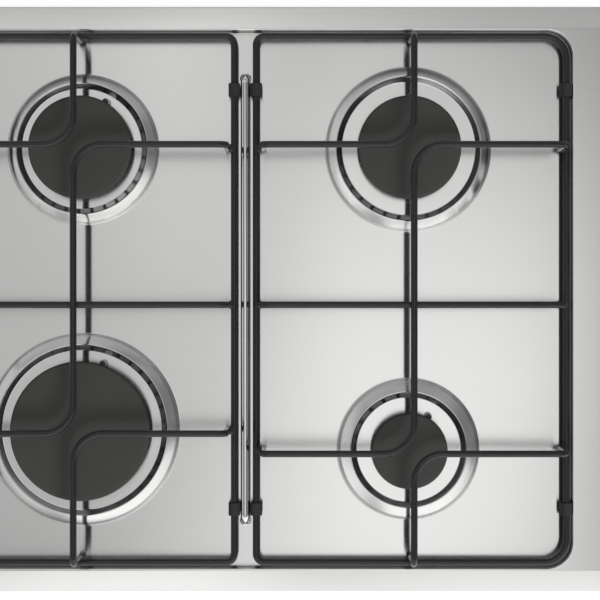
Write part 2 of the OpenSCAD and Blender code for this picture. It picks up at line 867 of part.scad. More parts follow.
module burner_cup(b) {
    lug_r = ceramic_r + fixed_fit + cup_lug_wall;
    neck_r = lug_r - cup_neck_step;
    reach = cap_r[b] + electrode_out;
    electrode_in_cup = [
        electrode_x(b) - burner_x[b], electrode_y(b) - burner_y[b], cup_flange_z
    ];
    color([0.72, 0.72, 0.72])
        translate([burner_x[b], burner_y[b], 0])
            difference() {
                union() {
                    translate([0, 0, cup_bottom_z])
                        cylinder(r = cup_r(b), h = cup_top_z - cup_bottom_z);
                    translate([0, 0, cup_flange_z])
                        cylinder(r = hole_r(b) + cup_flange_w, h = cup_flange_t);
                    translate([0, 0, cup_flange_z + (cup_flange_t - cup_neck_t) / 2])
                        rotate(electrode_angle[b])
                            translate([0, -neck_r, 0])
                                cube([reach, 2 * neck_r, cup_neck_t]);
                    translate(electrode_in_cup)
                        cylinder(r = lug_r, h = cup_flange_t);
                    translate([0, 0, gas_z])
                        rotate([0, 90, 0])
                            cylinder(r = cup_boss_r, h = cup_r(b) + cup_boss_l);
                }
                cup_pocket(b);
                translate(electrode_in_cup - [0, 0, eps])
                    cylinder(r = ceramic_r + fixed_fit, h = cup_flange_t + 2 * eps);
                translate([cup_r(b) + cup_boss_l - pipe_seat, 0, gas_z])
                    rotate([0, 90, 0])
                        cylinder(r = pipe_r + fixed_fit, h = pipe_seat + eps);
                translate([0, 0, gas_z])
                    rotate([0, 90, 0])
                        cylinder(r = gas_way_r, h = cup_r(b) + cup_boss_l - pipe_seat + eps);
                translate([0, 0, gas_z - gas_way_r - eps])
                    cylinder(r = injector_r + fixed_fit, h = cup_floor_z - gas_z + gas_way_r + 2 * eps);
                for (side = [0, 180])
                    rotate(side)
                        translate([0, cup_screw_r(b), cup_flange_z - eps])
                            cylinder(r = screw_r + fixed_fit, h = cup_flange_t + 2 * eps);
            }
}

module burner_screws() {
    color([0.7, 0.7, 0.68])
        for (b = BURNERS)
            translate([burner_x[b], burner_y[b], seat_z])
                for (side = [0, 180])
                    rotate(side)
                        translate([0, cup_screw_r(b), 0]) {
                            cylinder(r = screw_head_r, h = screw_head_h);
                            translate([0, 0, -sheet_t - cup_flange_t])
                                cylinder(r = screw_r, h = sheet_t + cup_flange_t);
                        }
}

module injectors() {
    color([0.8, 0.65, 0.3])
        for (b = BURNERS)
            translate([burner_x[b], burner_y[b], cup_floor_z])
                difference() {
                    union() {
                        cylinder(r = injector_hex_r, h = injector_head_h, $fn = 6);
                        translate([0, 0, -injector_thread_l])
                            cylinder(r = injector_r, h = injector_thread_l);
                    }
                    translate([0, 0, -injector_thread_l - eps])
                        cylinder(
                            r = injector_bore_r,
                            h = injector_thread_l + injector_head_h - injector_jet_l + eps
                        );
                    cylinder(r = injector_jet_r, h = injector_head_h + eps);
                }
}

module flame_spreader(b) {
    outer_r = spreader_r(b);
    skirt_r = cup_r(b) - cup_wall - spreader_play;
    skirt_l = 4.4;
    mixer_outer_r = mixer_r + mixer_wall;
    color([0.66, 0.66, 0.66])
        translate([burner_x[b], burner_y[b], cup_top_z])
            difference() {
                union() {
                    cylinder(r = outer_r, h = spreader_h);
                    translate([0, 0, -skirt_l])
                        cylinder(r = skirt_r, h = skirt_l + eps);
                    translate([0, 0, -mixer_l])
                        cylinder(r = mixer_outer_r, h = mixer_l + eps);
                }
                translate([0, 0, spreader_base_t])
                    cylinder(r = outer_r - spreader_wall, h = spreader_h);
                translate([0, 0, -skirt_l - eps])
                    difference() {
                        cylinder(r = skirt_r - cup_wall, h = skirt_l + eps);
                        cylinder(r = mixer_outer_r, h = skirt_l + eps);
                    }
                translate([0, 0, -mixer_l - eps])
                    cylinder(r = mixer_r, h = mixer_l + spreader_base_t + 2 * eps);
                for (i = [0 : port_count[b] - 1])
                    rotate(360 * i / port_count[b])
                        translate([outer_r - spreader_wall - eps, -port_w / 2, spreader_h - port_h])
                            cube([spreader_wall + 2 * eps, port_w, port_h + eps]);
            }
}

module burner_cap(b) {
    r = cap_r[b];
    rim_r = spreader_r(b) - spreader_wall - spreader_play;
    rim_l = 2.4;
    rim_w = 2;
    edge_drop = 2.4;
    // Steps inward over the rounded edge, and the share of its drop that is left at each
    edge_in = [0, 0.4, 1.4, 3.2];
    edge_left = [1, 0.45, 0.18, 0.07];
    color([0.17, 0.17, 0.165])
        translate([burner_x[b], burner_y[b], spreader_top_z])
            rotate_extrude($fn = 96)
                polygon([
                    [0, 0],
                    [rim_r - rim_w, 0],
                    [rim_r - rim_w, -rim_l],
                    [rim_r, -rim_l],
                    [rim_r, 0],
                    [r - 1, 0],
                    [r, 0.8],
                    for (i = [0 : len(edge_in) - 1])
                        [r - edge_in[i], cap_t - edge_left[i] * edge_drop],
                    [0, cap_t]
                ]);
}

// Electrodes

module spark_ceramics() {
    color([0.9, 0.89, 0.85])
        for (b = BURNERS)
            translate([electrode_x(b), electrode_y(b), 0])
                difference() {
                    union() {
                        translate([0, 0, ceramic_bottom_z])
                            cylinder(r = ceramic_r, h = ceramic_top_z - ceramic_bottom_z);
                        translate([0, 0, cup_flange_z - ceramic_collar_h])
                            cylinder(r = ceramic_collar_r, h = ceramic_collar_h);
                    }
                    translate([0, 0, ceramic_bottom_z - eps])
                        cylinder(r = pin_r + fixed_fit, h = ceramic_top_z - ceramic_bottom_z + 2 * eps);
                }
}

module spark_pins() {
    color([0.25, 0.25, 0.25])
        for (b = BURNERS)
            translate([electrode_x(b), electrode_y(b), 0]) {
                translate([0, 0, pin_bottom_z])
                    cylinder(r = pin_r, h = electrode_top_z - pin_bottom_z);
                translate([0, 0, ceramic_top_z])
                    cylinder(r = pin_head_r, h = electrode_top_z - ceramic_top_z);
            }
}

module spark_generator() {
    spigot_r = lead_d / 2 + 1.5;
    color([0.85, 0.85, 0.82])
        translate([well_x, 0, pan_floor_z])
            difference() {
                union() {
                    translate([-generator_l / 2, -generator_w / 2, 0])
                        cube([generator_l, generator_w, generator_h]);
                    for (b = BURNERS)
                        translate([lead_side(b) * generator_l / 2, lead_y(b), lead_h])
                            rotate([0, lead_side(b) * 90, 0])
                                cylinder(r = spigot_r, h = lead_spigot_l);
                }
                for (b = BURNERS)
                    translate([lead_side(b) * (generator_l / 2 - lead_seat_l), lead_y(b), lead_h])
                        rotate([0, lead_side(b) * 90, 0])
                            cylinder(
                                r = lead_d / 2 + fixed_fit, h = lead_seat_l + lead_spigot_l + eps
                            );
            }
}

function lead_side(b) = b == REAR_LEFT || b == FRONT_LEFT ? -1 : 1;
function lead_y(b) = (b == REAR_LEFT || b == REAR_RIGHT ? 1 : -1) * generator_w / 4;

// High-voltage leads from the generator along the pan floor and up to each electrode
module ignition_leads() {
    lead_z = pan_floor_z + lead_h;
    color([0.15, 0.15, 0.15])
        for (b = BURNERS)
            wire(
                [
                    [well_x + lead_side(b) * (generator_l / 2 - lead_seat_l), lead_y(b), lead_z],
                    [electrode_x(b), lead_y(b), lead_z],
                    [electrode_x(b), electrode_y(b), lead_z],
                    [electrode_x(b), electrode_y(b), pin_bottom_z]
                ],
                [lead_bend_r, lead_bend_r], lead_d / 2
            );
}

// Tap rail, switches and knobs

module tap_rail() {
    color([0.6, 0.62, 0.63])
        translate([knob_x, 0, 0])
            difference() {
                union() {
                    translate([-rail_half_w, -rail_l / 2, rail_floor_z])
                        cube([2 * rail_half_w, rail_l, rail_t]);
                    for (side = [-1, 1]) {
                        translate([
                            side > 0 ? rail_half_w - rail_t : -rail_half_w, -rail_l / 2, rail_floor_z
                        ])
                            cube([rail_t, rail_l, deck_under_z - rail_floor_z]);
                        translate([
                            side > 0 ? rail_half_w - rail_t : -rail_half_w - rail_flange_w + rail_t,
                            -rail_l / 2, deck_under_z - rail_t
                        ])
                            cube([rail_flange_w, rail_l, rail_t]);
                    }
                }
                for (y = knob_y) {
                    translate([0, y, rail_floor_z - eps])
                        cylinder(r = spindle_r + rail_hole_gap, h = rail_t + 2 * eps);
                    for (side = [-1, 1])
                        translate([0, y + side * tap_screw_y, rail_floor_z - eps])
                            cylinder(r = screw_r + fixed_fit, h = rail_t + 2 * eps);
                }
            }
}

module ignition_switches() {
    color([0.9, 0.9, 0.88])
        for (y = knob_y)
            translate([knob_x, y, rail_floor_z + rail_t])
                difference() {
                    translate([-switch_w / 2, -switch_d / 2, 0])
                        cube([switch_w, switch_d, switch_h]);
                    translate([0, 0, -eps])
                        cylinder(r = spindle_r + switch_hole_gap, h = switch_h + 2 * eps);
                }
}

// Collar that the spindle carries down on to its switch
module switch_collar(b) {
    color([0.9, 0.9, 0.88])
        translate([knob_x, knob_y[b], collar_z])
            ring(collar_r, spindle_r + running_fit, collar_h);
}

module tap_spindle(b) {
    shoulder_z = collar_z + collar_h;
    flat_z = knob_z + knob_hub_gap + spindle_round_l;
    color([0.8, 0.65, 0.3])
        translate([knob_x, knob_y[b], 0])
            difference() {
                union() {
                    translate([0, 0, spindle_bottom_z])
                        cylinder(r = spindle_r, h = spindle_top_z - spindle_bottom_z);
                    translate([0, 0, shoulder_z])
                        cylinder(r = spindle_shoulder_r, h = spindle_shoulder_h);
                }
                translate([-spindle_r - eps, spindle_r - spindle_flat, flat_z])
                    cube([spindle_d + 2 * eps, spindle_d, spindle_top_z]);
            }
}

module knob(b) {
    top_r = knob_d / 2 - knob_draft;
    hub_top = knob_h - knob_wall;
    color([0.1, 0.1, 0.1])
        translate([knob_x, knob_y[b], knob_z])
            difference() {
                union() {
                    rotate_extrude()
                        polygon([
                            [knob_d / 2 - knob_wall, 0],
                            [knob_d / 2, 0],
                            [knob_d / 2, knob_skirt_h],
                            [top_r + knob_step, knob_skirt_h + knob_step_h],
                            [top_r, knob_h - knob_edge_r],
                            [top_r - 0.3 * knob_edge_r, knob_h - 0.3 * knob_edge_r],
                            [top_r - knob_edge_r, knob_h],
                            [0, knob_h],
                            [0, hub_top],
                            [top_r - knob_wall, hub_top],
                            [top_r - knob_wall, knob_skirt_h + knob_step_h]
                        ]);
                    translate([0, 0, knob_hub_gap])
                        cylinder(r = knob_hub_r, h = hub_top - knob_hub_gap + eps);
                }
                difference() {
                    translate([0, 0, knob_hub_gap - eps])
                        cylinder(
                            r = spindle_r + running_fit,
                            h = spindle_top_z - knob_z - knob_hub_gap + 2 * eps
                        );
                    translate([
                        -spindle_d, spindle_r - spindle_flat + running_fit,
                        knob_hub_gap + spindle_round_l + eps
                    ])
                        cube([2 * spindle_d, spindle_d, knob_h]);
                }
                translate([-knob_groove_w / 2, top_r * knob_groove_start, knob_h - knob_groove_t])
                    cube([knob_groove_w, top_r, knob_h]);
            }
}

module knob_seals() {
    plug_r = deck_hole_r - fixed_fit;
    plug_l = sheet_t + seal_lip_l;
    color([0.12, 0.12, 0.12])
        for (y = knob_y)
            translate([knob_x, y, deck_z])
                difference() {
                    union() {
                        cylinder(r = knob_seal_d / 2, h = knob_seal_t);
                        translate([0, 0, -plug_l])
                            cylinder(r = plug_r, h = plug_l);
                    }
                    translate([0, 0, -plug_l - eps])
                        cylinder(r = seal_bore_r, h = plug_l + knob_seal_t + 2 * eps);
                }
}

// Gas train

module gas_tap(b) {
    color([0.8, 0.65, 0.3])
        translate([knob_x, knob_y[b], 0])
            difference() {
                union() {
                    translate([-tap_w / 2, -tap_d / 2, gas_z - tap_h / 2])
                        cube([tap_w, tap_d, tap_h]);
                    translate([0, 0, tap_block_top_z - eps])
                        cylinder(r = tap_nose_r, h = tap_top_z - tap_block_top_z + eps);
                    translate([-tap_ear_w / 2, -tap_ear_l / 2, tap_top_z - tap_ear_t])
                        cube([tap_ear_w, tap_ear_l, tap_ear_t]);
                    translate([-tap_w / 2 + eps, 0, gas_z])
                        rotate([0, -90, 0])
                            cylinder(r = tap_boss_r, h = tap_boss_l + eps);
                    translate([tap_w / 2 - eps, 0, gas_z])
                        rotate([0, 90, 0])
                            cylinder(r = nipple_r, h = eps + manifold_gap + manifold_wall + nipple_l);
                }
                translate([0, 0, spindle_bottom_z - push_travel - push_spare])
                    cylinder(
                        r = spindle_r + running_fit,
                        h = tap_top_z - spindle_bottom_z + push_travel + push_spare + eps
                    );
                translate([-tap_w / 2 - tap_boss_l - eps, 0, gas_z])
                    rotate([0, 90, 0])
                        cylinder(r = pipe_r + fixed_fit, h = pipe_seat + eps);
                translate([-tap_w / 2 - eps, 0, gas_z])
                    rotate([0, 90, 0])
                        cylinder(
                            r = tap_way_r,
                            h = tap_w + 3 * eps + manifold_gap + manifold_wall + nipple_l
                        );
                for (side = [-1, 1])
                    translate([0, side * tap_screw_y, tap_top_z - tap_ear_t - eps])
                        cylinder(r = screw_r + fixed_fit, h = tap_ear_t + 2 * eps);
            }
}

module gas_taps() {
    for (b = BURNERS)
        gas_tap(b);
}

module tap_screws() {
    color([0.7, 0.7, 0.68])
        for (y = knob_y)
            for (side = [-1, 1])
                translate([knob_x, y + side * tap_screw_y, rail_floor_z + rail_t]) {
                    cylinder(r = screw_head_r, h = screw_head_h);
                    translate([0, 0, -rail_t - tap_ear_t])
                        cylinder(r = screw_r, h = rail_t + tap_ear_t);
                }
}

// A U-shaped strap that holds the manifold against each tap
module tap_clamps() {
    inner_r = manifold_d / 2 + fixed_fit / 2;
    color([0.7, 0.7, 0.68])
        for (y = knob_y)
            translate([manifold_x, y, gas_z])
                rotate([90, 0, 0])
                    translate([0, 0, -strap_w / 2])
                        difference() {
                            union() {
                                cylinder(r = inner_r + strap_t, h = strap_w);
                                translate([tap_right_x - manifold_x, -inner_r - strap_t, 0])
                                    cube([manifold_x - tap_right_x, 2 * (inner_r + strap_t), strap_w]);
                            }
                            translate([0, 0, -eps])
                                cylinder(r = inner_r, h = strap_w + 2 * eps);
                            translate([-manifold_d, -inner_r, -eps])
                                cube([manifold_d, 2 * inner_r, strap_w + 2 * eps]);
                            translate([tap_right_x - manifold_x - manifold_d, -manifold_d, -eps])
                                cube([manifold_d, 2 * manifold_d, strap_w + 2 * eps]);
                        }
}

module gas_manifold() {
    color([0.7, 0.7, 0.7])
        difference() {
            bar(
                [manifold_x, manifold_front_y, gas_z], [manifold_x, manifold_rear_y, gas_z],
                manifold_d / 2
            );
            bar(
                [manifold_x, manifold_front_y + manifold_end_t, gas_z], [manifold_x, manifold_rear_y + eps, gas_z],
                manifold_d / 2 - manifold_wall
            );
            for (y = knob_y)
                translate([manifold_x - manifold_d, y, gas_z])
                    rotate([0, 90, 0])
                        cylinder(r = nipple_r + fixed_fit, h = manifold_d);
        }
}

module gas_inlet_elbow() {
    color([0.8, 0.65, 0.3])
        translate([manifold_x, 0, 0])
            difference() {
                union() {
                    translate([0, elbow_y, gas_z])
                        sphere(r = elbow_r);
                    translate([0, manifold_rear_y - elbow_socket, gas_z])
                        rotate([-90, 0, 0])
                            cylinder(r = elbow_r, h = elbow_y - manifold_rear_y + elbow_socket);
                    translate([0, elbow_y, elbow_bottom_z])
                        cylinder(r = elbow_r, h = gas_z - elbow_bottom_z);
                    translate([0, elbow_y, inlet_end_z])
                        cylinder(r = inlet_r, h = gas_z - inlet_end_z);
                }
                translate([0, manifold_rear_y - elbow_socket - eps, gas_z])
                    rotate([-90, 0, 0])
                        cylinder(r = manifold_d / 2 + fixed_fit, h = elbow_socket + eps);
                translate([0, manifold_rear_y - eps, gas_z])
                    rotate([-90, 0, 0])
                        cylinder(r = elbow_bore_r, h = elbow_y - manifold_rear_y + eps);
                translate([0, elbow_y, gas_z])
                    sphere(r = elbow_bore_r);
                translate([0, elbow_y, inlet_end_z - eps])
                    cylinder(r = elbow_bore_r, h = gas_z - inlet_end_z + eps);
            }
}

// Ends of each pipe: inside the cup boss, and inside the tap boss
function cup_end_x(b) = burner_x[b] + cup_r(b) + cup_boss_l - pipe_seat;
tap_end_x = tap_left_x - tap_boss_l + pipe_seat;
function lane_end_x(b) = burner_x[b] + cup_r(b) + cup_boss_l + lane_end_gap;

// Long pipe round a right burner along a lane at the rear or the front
module lane_pipe(b, lane_y) {
    tube(
        [
            [tap_end_x, knob_y[b], gas_z],
            [lane_start_x, knob_y[b], gas_z],
            [lane_start_x, lane_y, gas_z],
            [lane_end_x(b), lane_y, gas_z],
            [lane_end_x(b), burner_y[b], gas_z],
            [cup_end_x(b), burner_y[b], gas_z]
        ],
        pipe_bend_r, pipe_r, pipe_wall
    );
}

// Short pipe straight across to a right burner
module near_pipe(b) {
    turn_x = burner_x[b] + cup_r(b) + cup_boss_l + near_lane_gap;
    tube(
        [
            [tap_end_x, knob_y[b], gas_z],
            [turn_x, knob_y[b], gas_z],
            [turn_x, burner_y[b], gas_z],
            [cup_end_x(b), burner_y[b], gas_z]
        ],
        pipe_bend_r, pipe_r, pipe_wall
    );
}

module gas_pipe(b) {
    color([0.82, 0.82, 0.82])
        if (b == REAR_LEFT) lane_pipe(b, rear_lane_y);
        else if (b == FRONT_LEFT) lane_pipe(b, front_lane_y);
        else near_pipe(b);
}

module pipe_nut() {
    difference() {
        cylinder(r = nut_r, h = nut_l, $fn = 6);
        translate([0, 0, -eps])
            cylinder(r = pipe_r + fixed_fit, h = nut_l + 2 * eps);
    }
}

module pipe_nuts() {
    color([0.8, 0.65, 0.3])
        for (b = BURNERS) {
            translate([burner_x[b] + cup_r(b) + cup_boss_l, burner_y[b], gas_z])
                rotate([0, 90, 0])
                    pipe_nut();
            translate([tap_left_x - tap_boss_l, knob_y[b], gas_z])
                rotate([0, -90, 0])
                    pipe_nut();
        }
}

// Mains inlet

module terminal_block() {
    color([0.92, 0.92, 0.9])
        translate([gland_x, pan_d / 2 - sheet_t - gland_flange_t - terminal_gap, pan_floor_z])
            difference() {
                translate([-terminal_l / 2, -terminal_w, 0])
                    cube([terminal_l, terminal_w, terminal_h]);
                for (i = [-1 : 1])
                    translate([i * terminal_pitch, -terminal_w / 2, terminal_h - terminal_hole_t])
                        cylinder(r = terminal_hole_r, h = terminal_hole_t + eps);
            }
}

module cord_gland() {
    color([0.12, 0.12, 0.12])
        translate([gland_x, pan_d / 2 - sheet_t - gland_flange_t, gland_z])
            rotate([-90, 0, 0])
                difference() {
                    union() {
                        cylinder(r = gland_flange_r, h = gland_flange_t);
                        cylinder(r = gland_r, h = gland_flange_t + sheet_t);
                        translate([0, 0, gland_flange_t + sheet_t])
                            cylinder(r = gland_flange_r, h = gland_flange_t);
                    }
                    translate([0, 0, -eps])
                        cylinder(r = cord_hole_d / 2, h = 2 * gland_flange_t + sheet_t + 2 * eps);
                }
}

// Pan supports and their feet

// Local points: x from the support's own centreline, y from the middle of the top
module pan_support(side) {
    outer = ring_half_w;
    front_y = side == LEFT ? -rapid_y : -auxiliary_y;
    bar_z = finger_z - cross_bar_drop;
    left_r = side == LEFT ? ring_outer_r : ring_inner_r;
    right_r = side == LEFT ? ring_inner_r : ring_outer_r;
    ring_r = ring_wire_d / 2;
    finger_r = finger_wire_d / 2;
    b = riser_bend_r;
    color([0.09, 0.09, 0.09])
        translate([well_x + side * support_dx, 0, 0]) {
            wire(
                [
                    [0, ring_half_d, ring_z], [outer, ring_half_d, ring_z],
                    [outer, -ring_half_d, ring_z], [-outer, -ring_half_d, ring_z],
                    [-outer, ring_half_d, ring_z], [0, ring_half_d, ring_z]
                ],
                [right_r, right_r, left_r, left_r], ring_r
            );
            wire(
                [
                    [0, ring_half_d, ring_z], [0, ring_half_d, finger_z], [0, rear_y, finger_z],
                    [-outer, rear_y, finger_z], [-outer, rear_y, ring_z]
                ],
                [b, finger_arc_r, b], finger_r
            );
            wire(
                [
                    [outer, rear_y, ring_z], [outer, rear_y, finger_z], [0, rear_y, finger_z],
                    [0, front_y, finger_z], [-outer, front_y, finger_z], [-outer, front_y, ring_z]
                ],
                [b, finger_arc_r, finger_arc_r, b], finger_r
            );
            wire(
                [
                    [outer, front_y, ring_z], [outer, front_y, finger_z], [0, front_y, finger_z],
                    [0, -ring_half_d, finger_z], [0, -ring_half_d, ring_z]
                ],
                [b, finger_arc_r, b], finger_r
            );
            wire(
                [
                    [outer, cross_bar_y, ring_z], [outer, cross_bar_y, bar_z],
                    [-outer, cross_bar_y, bar_z], [-outer, cross_bar_y, ring_z]
                ],
                [b, b], finger_r
            );
        }
}

module rubber_foot() {
    roof_z = ring_z + ring_wire_d / 2 + foot_roof;
    shoulder_z = ring_z - ring_wire_d / 2;
    difference() {
        union() {
            translate([-foot_stub_w / 2, -foot_l / 2, floor_z])
                cube([foot_stub_w, foot_l, shoulder_z - floor_z]);
            translate([-foot_w / 2, -foot_l / 2, shoulder_z])
                cube([foot_w, foot_l, ring_z - shoulder_z]);
            translate([0, -foot_l / 2, ring_z])
                rotate([-90, 0, 0])
                    cylinder(r = foot_w / 2, h = foot_l);
        }
        translate([0, -foot_l / 2 - eps, ring_z])
            rotate([-90, 0, 0])
                cylinder(r = ring_wire_d / 2 + foot_play, h = foot_l + 2 * eps);
        translate([-foot_w, -foot_l, roof_z])
            cube([2 * foot_w, 2 * foot_l, foot_w]);
    }
}

module rubber_feet(side) {
    color([0.07, 0.07, 0.07])
        translate([well_x + side * support_dx, 0, 0])
            for (x = [-1, 1])
                for (y = [-1, 1])
                    translate([x * ring_half_w, y * foot_y, 0])
                        rubber_foot();
}

hob_top();
base_pan();
worktop_seal();
base_brackets();
fixing_clamps();
case_screws();
centre_rod();
rod_nuts();
burner_cup(REAR_LEFT);  // burner_cup_rear_left
burner_cup(REAR_RIGHT);  // burner_cup_rear_right
burner_cup(FRONT_RIGHT);  // burner_cup_front_right
burner_cup(FRONT_LEFT);  // burner_cup_front_left
burner_screws();
injectors();
spark_ceramics();
spark_pins();
tap_rail();
gas_taps();
tap_screws();
tap_clamps();
gas_manifold();
gas_inlet_elbow();
gas_pipe(REAR_LEFT);  // gas_pipe_rear_left
gas_pipe(REAR_RIGHT);  // gas_pipe_rear_right
gas_pipe(FRONT_RIGHT);  // gas_pipe_front_right
gas_pipe(FRONT_LEFT);  // gas_pipe_front_left
pipe_nuts();
ignition_switches();
spark_generator();
ignition_leads();
terminal_block();
cord_gland();
knob_seals();
switch_collar(REAR_LEFT);  // switch_collar_rear_left
switch_collar(REAR_RIGHT);  // switch_collar_rear_right
switch_collar(FRONT_RIGHT);  // switch_collar_front_right
switch_collar(FRONT_LEFT);  // switch_collar_front_left
tap_spindle(REAR_LEFT);  // tap_spindle_rear_left
tap_spindle(REAR_RIGHT);  // tap_spindle_rear_right
tap_spindle(FRONT_RIGHT);  // tap_spindle_front_right
tap_spindle(FRONT_LEFT);  // tap_spindle_front_left
knob(REAR_LEFT);  // knob_rear_left
knob(REAR_RIGHT);  // knob_rear_right
knob(FRONT_RIGHT);  // knob_front_right
knob(FRONT_LEFT);  // knob_front_left
flame_spreader(REAR_LEFT);  // flame_spreader_rear_left
flame_spreader(REAR_RIGHT);  // flame_spreader_rear_right
flame_spreader(FRONT_RIGHT);  // flame_spreader_front_right
flame_spreader(FRONT_LEFT);  // flame_spreader_front_left
burner_cap(REAR_LEFT);  // burner_cap_rear_left
burner_cap(REAR_RIGHT);  // burner_cap_rear_right
burner_cap(FRONT_RIGHT);  // burner_cap_front_right
burner_cap(FRONT_LEFT);  // burner_cap_front_left
pan_support(LEFT);  // pan_support_left
pan_support(RIGHT);  // pan_support_right
rubber_feet(LEFT);  // rubber_feet_left
rubber_feet(RIGHT);  // rubber_feet_right
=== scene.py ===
"""Gas hob in its studio: finishes, finer pieces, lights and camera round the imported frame.

Lengths in this file are millimetres in the frame of the part. They become metres when a mesh
is finished. The top lies flat, X runs along its long side towards the knobs and Y to the rear.
"""

import logging
import math
from dataclasses import dataclass, field
from enum import Enum
from typing import Any, Iterable, Mapping, Sequence

import bmesh
import bpy
from bpy.types import Mesh, NodeSocket
from mathutils import Matrix, Vector

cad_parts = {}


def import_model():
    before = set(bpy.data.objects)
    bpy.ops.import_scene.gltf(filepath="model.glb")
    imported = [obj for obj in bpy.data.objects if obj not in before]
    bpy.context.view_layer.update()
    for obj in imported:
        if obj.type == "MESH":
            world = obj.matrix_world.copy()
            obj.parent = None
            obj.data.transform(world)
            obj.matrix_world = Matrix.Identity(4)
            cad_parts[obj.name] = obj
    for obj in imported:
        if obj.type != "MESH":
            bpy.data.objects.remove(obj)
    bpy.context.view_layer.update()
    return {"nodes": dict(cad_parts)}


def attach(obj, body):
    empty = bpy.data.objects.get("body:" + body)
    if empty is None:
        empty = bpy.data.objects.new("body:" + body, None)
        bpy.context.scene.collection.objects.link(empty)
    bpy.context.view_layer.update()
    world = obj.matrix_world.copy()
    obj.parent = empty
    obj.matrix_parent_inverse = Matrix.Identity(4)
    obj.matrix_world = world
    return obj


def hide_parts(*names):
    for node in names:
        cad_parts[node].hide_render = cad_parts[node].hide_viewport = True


LOG = logging.getLogger("gas_hob")
MM = 0.001
CREASE = 35.0
CORNER_STEPS = 6
Point = tuple[float, float, float]
Flat = tuple[float, float]
Ring = list[bmesh.types.BMVert]


# ---- Sizes shared by several pieces ----


@dataclass(frozen=True)
class Burner:
    """Place and radii of one burner."""

    name: str
    x: float
    y: float
    cap_r: float
    seat_r: float
    dish_r: float
    crest_z: float
    ports: int
    electrode_angle: float
    cap_past_hole: float = 12.5
    cap_past_spreader: float = 3.5
    cap_to_electrode: float = 0.6
    hole_to_screw: float = 3.5

    @property
    def hole_r(self) -> float:
        """Radius of the hole in the sheet."""
        return self.cap_r - self.cap_past_hole

    @property
    def spreader_r(self) -> float:
        """Outer radius of the flame spreader."""
        return self.cap_r - self.cap_past_spreader

    @property
    def screw_r(self) -> float:
        """Distance of the cup's screws from the burner's axis."""
        return self.hole_r + self.hole_to_screw

    @property
    def electrode(self) -> Flat:
        """Centre of the spark electrode, to a tenth of a millimetre."""
        turn, reach = math.radians(self.electrode_angle), self.cap_r + self.cap_to_electrode
        x, y = self.x + reach * math.cos(turn), self.y + reach * math.sin(turn)
        return round(x, 1), round(y, 1)


@dataclass(frozen=True)
class Levels:
    """Heights over the worktop."""

    skirt: float = 0.4
    floor: float = 1.5
    seat: float = 8.0
    deck: float = 9.0
    cup_top: float = 9.4
    spreader_top: float = 17.0
    ring: float = 10.0
    finger: float = 38.5
    knob: float = 13.0
    pan_bottom: float = -42.0


BURNERS = (
    Burner("rear_left", -158.6, 109.0, 37.0, 43.4, 54.5, 10.2, 28, 62.0),
    Burner("rear_right", 77.6, 109.0, 37.0, 48.25, 59.6, 10.5, 28, 87.0),
    Burner("front_right", 77.6, -108.7, 27.25, 37.8, 51.0, 10.5, 20, 60.0),
    Burner("front_left", -158.6, -94.5, 50.0, 57.75, 69.7, 10.2, 36, 72.0),
)
Z = Levels()
ROD_X = -40.5
KNOB_X = 240.0
KNOB_ROWS = {"rear_left": 105.0, "rear_right": 35.0, "front_right": -35.0, "front_left": -105.0}


def link(name: str, data: Any) -> bpy.types.Object:
    """Puts new data into the scene under a name, and returns its object."""
    made = bpy.data.objects.new(name, data)
    bpy.context.scene.collection.objects.link(made)
    return made


# ---- Node trees ----


class NodeSheet:
    """Lays down and joins the nodes of one tree."""

    def __init__(self, tree: bpy.types.NodeTree) -> None:
        """Keeps the tree and empties it."""
        self.tree = tree
        tree.nodes.clear()

    def add(
        self, kind: str, values: Mapping[Any, Any] | None = None, **settings: Any
    ) -> bpy.types.Node:
        """Adds one node.

        Args:
            kind: the node's type name.
            values: for each input, by name or number, a plain value or the socket it comes from.
            **settings: the node's own properties.

        Returns:
            The new node.
        """
        node = self.tree.nodes.new(kind)
        for name, value in settings.items():
            setattr(node, name, value)
        for key, value in (values or {}).items():
            if isinstance(value, NodeSocket):
                self.tree.links.new(value, node.inputs[key])
            else:
                node.inputs[key].default_value = value
        return node

    def out(self, *parts: Any, **settings: Any) -> NodeSocket:
        """Adds one node as add() does, and returns its first output."""
        return self.add(*parts, **settings).outputs[0]

    def math(self, operation: str, *values: Any) -> NodeSocket:
        """Adds a Math node on numbers or sockets, and returns its result."""
        return self.out("ShaderNodeMath", dict(enumerate(values)), operation=operation)

    def mix(self, factor: NodeSocket, low: Sequence[float], high: Sequence[float]) -> NodeSocket:
        """Mixes two colours by a socket's number, and returns the mixed colour."""
        inputs = {0: factor, 6: low, 7: high}  # 0 is the factor, 6 and 7 are the colours
        return self.add("ShaderNodeMix", inputs, data_type="RGBA").outputs[2]

    def scale(self, colour: NodeSocket, factor: NodeSocket) -> NodeSocket:
        """Makes a colour lighter or darker by a socket's number, and returns the new colour."""
        return self.out("ShaderNodeVectorMath", {0: colour, 1: factor}, operation="MULTIPLY")

    def span(self, value: NodeSocket, low: float, high: float) -> NodeSocket:
        """Spreads a socket's 0 to 1 from low to high, and returns the new number."""
        inputs = {"Value": value, "To Min": low, "To Max": high}
        return self.out("ShaderNodeMapRange", inputs)

    def noise(self, place: NodeSocket, size: float, detail: float) -> NodeSocket:
        """Adds noise with a grain of a size in millimetres, and returns its number."""
        inputs = {"Vector": place, "Scale": 1.0 / (size * MM), "Detail": detail}
        return self.add("ShaderNodeTexNoise", inputs).outputs["Fac"]

    def mark(self, name: str) -> NodeSocket:
        """Reads a mark that the points of the mesh carry, and returns its number."""
        return self.add("ShaderNodeAttribute", attribute_name=name).outputs["Fac"]


def new_material(title: str) -> tuple[bpy.types.Material, NodeSheet]:
    """Makes an empty material, and returns it and the sheet of its nodes."""
    material = bpy.data.materials.new(title)
    material.use_nodes = True
    return material, NodeSheet(material.node_tree)


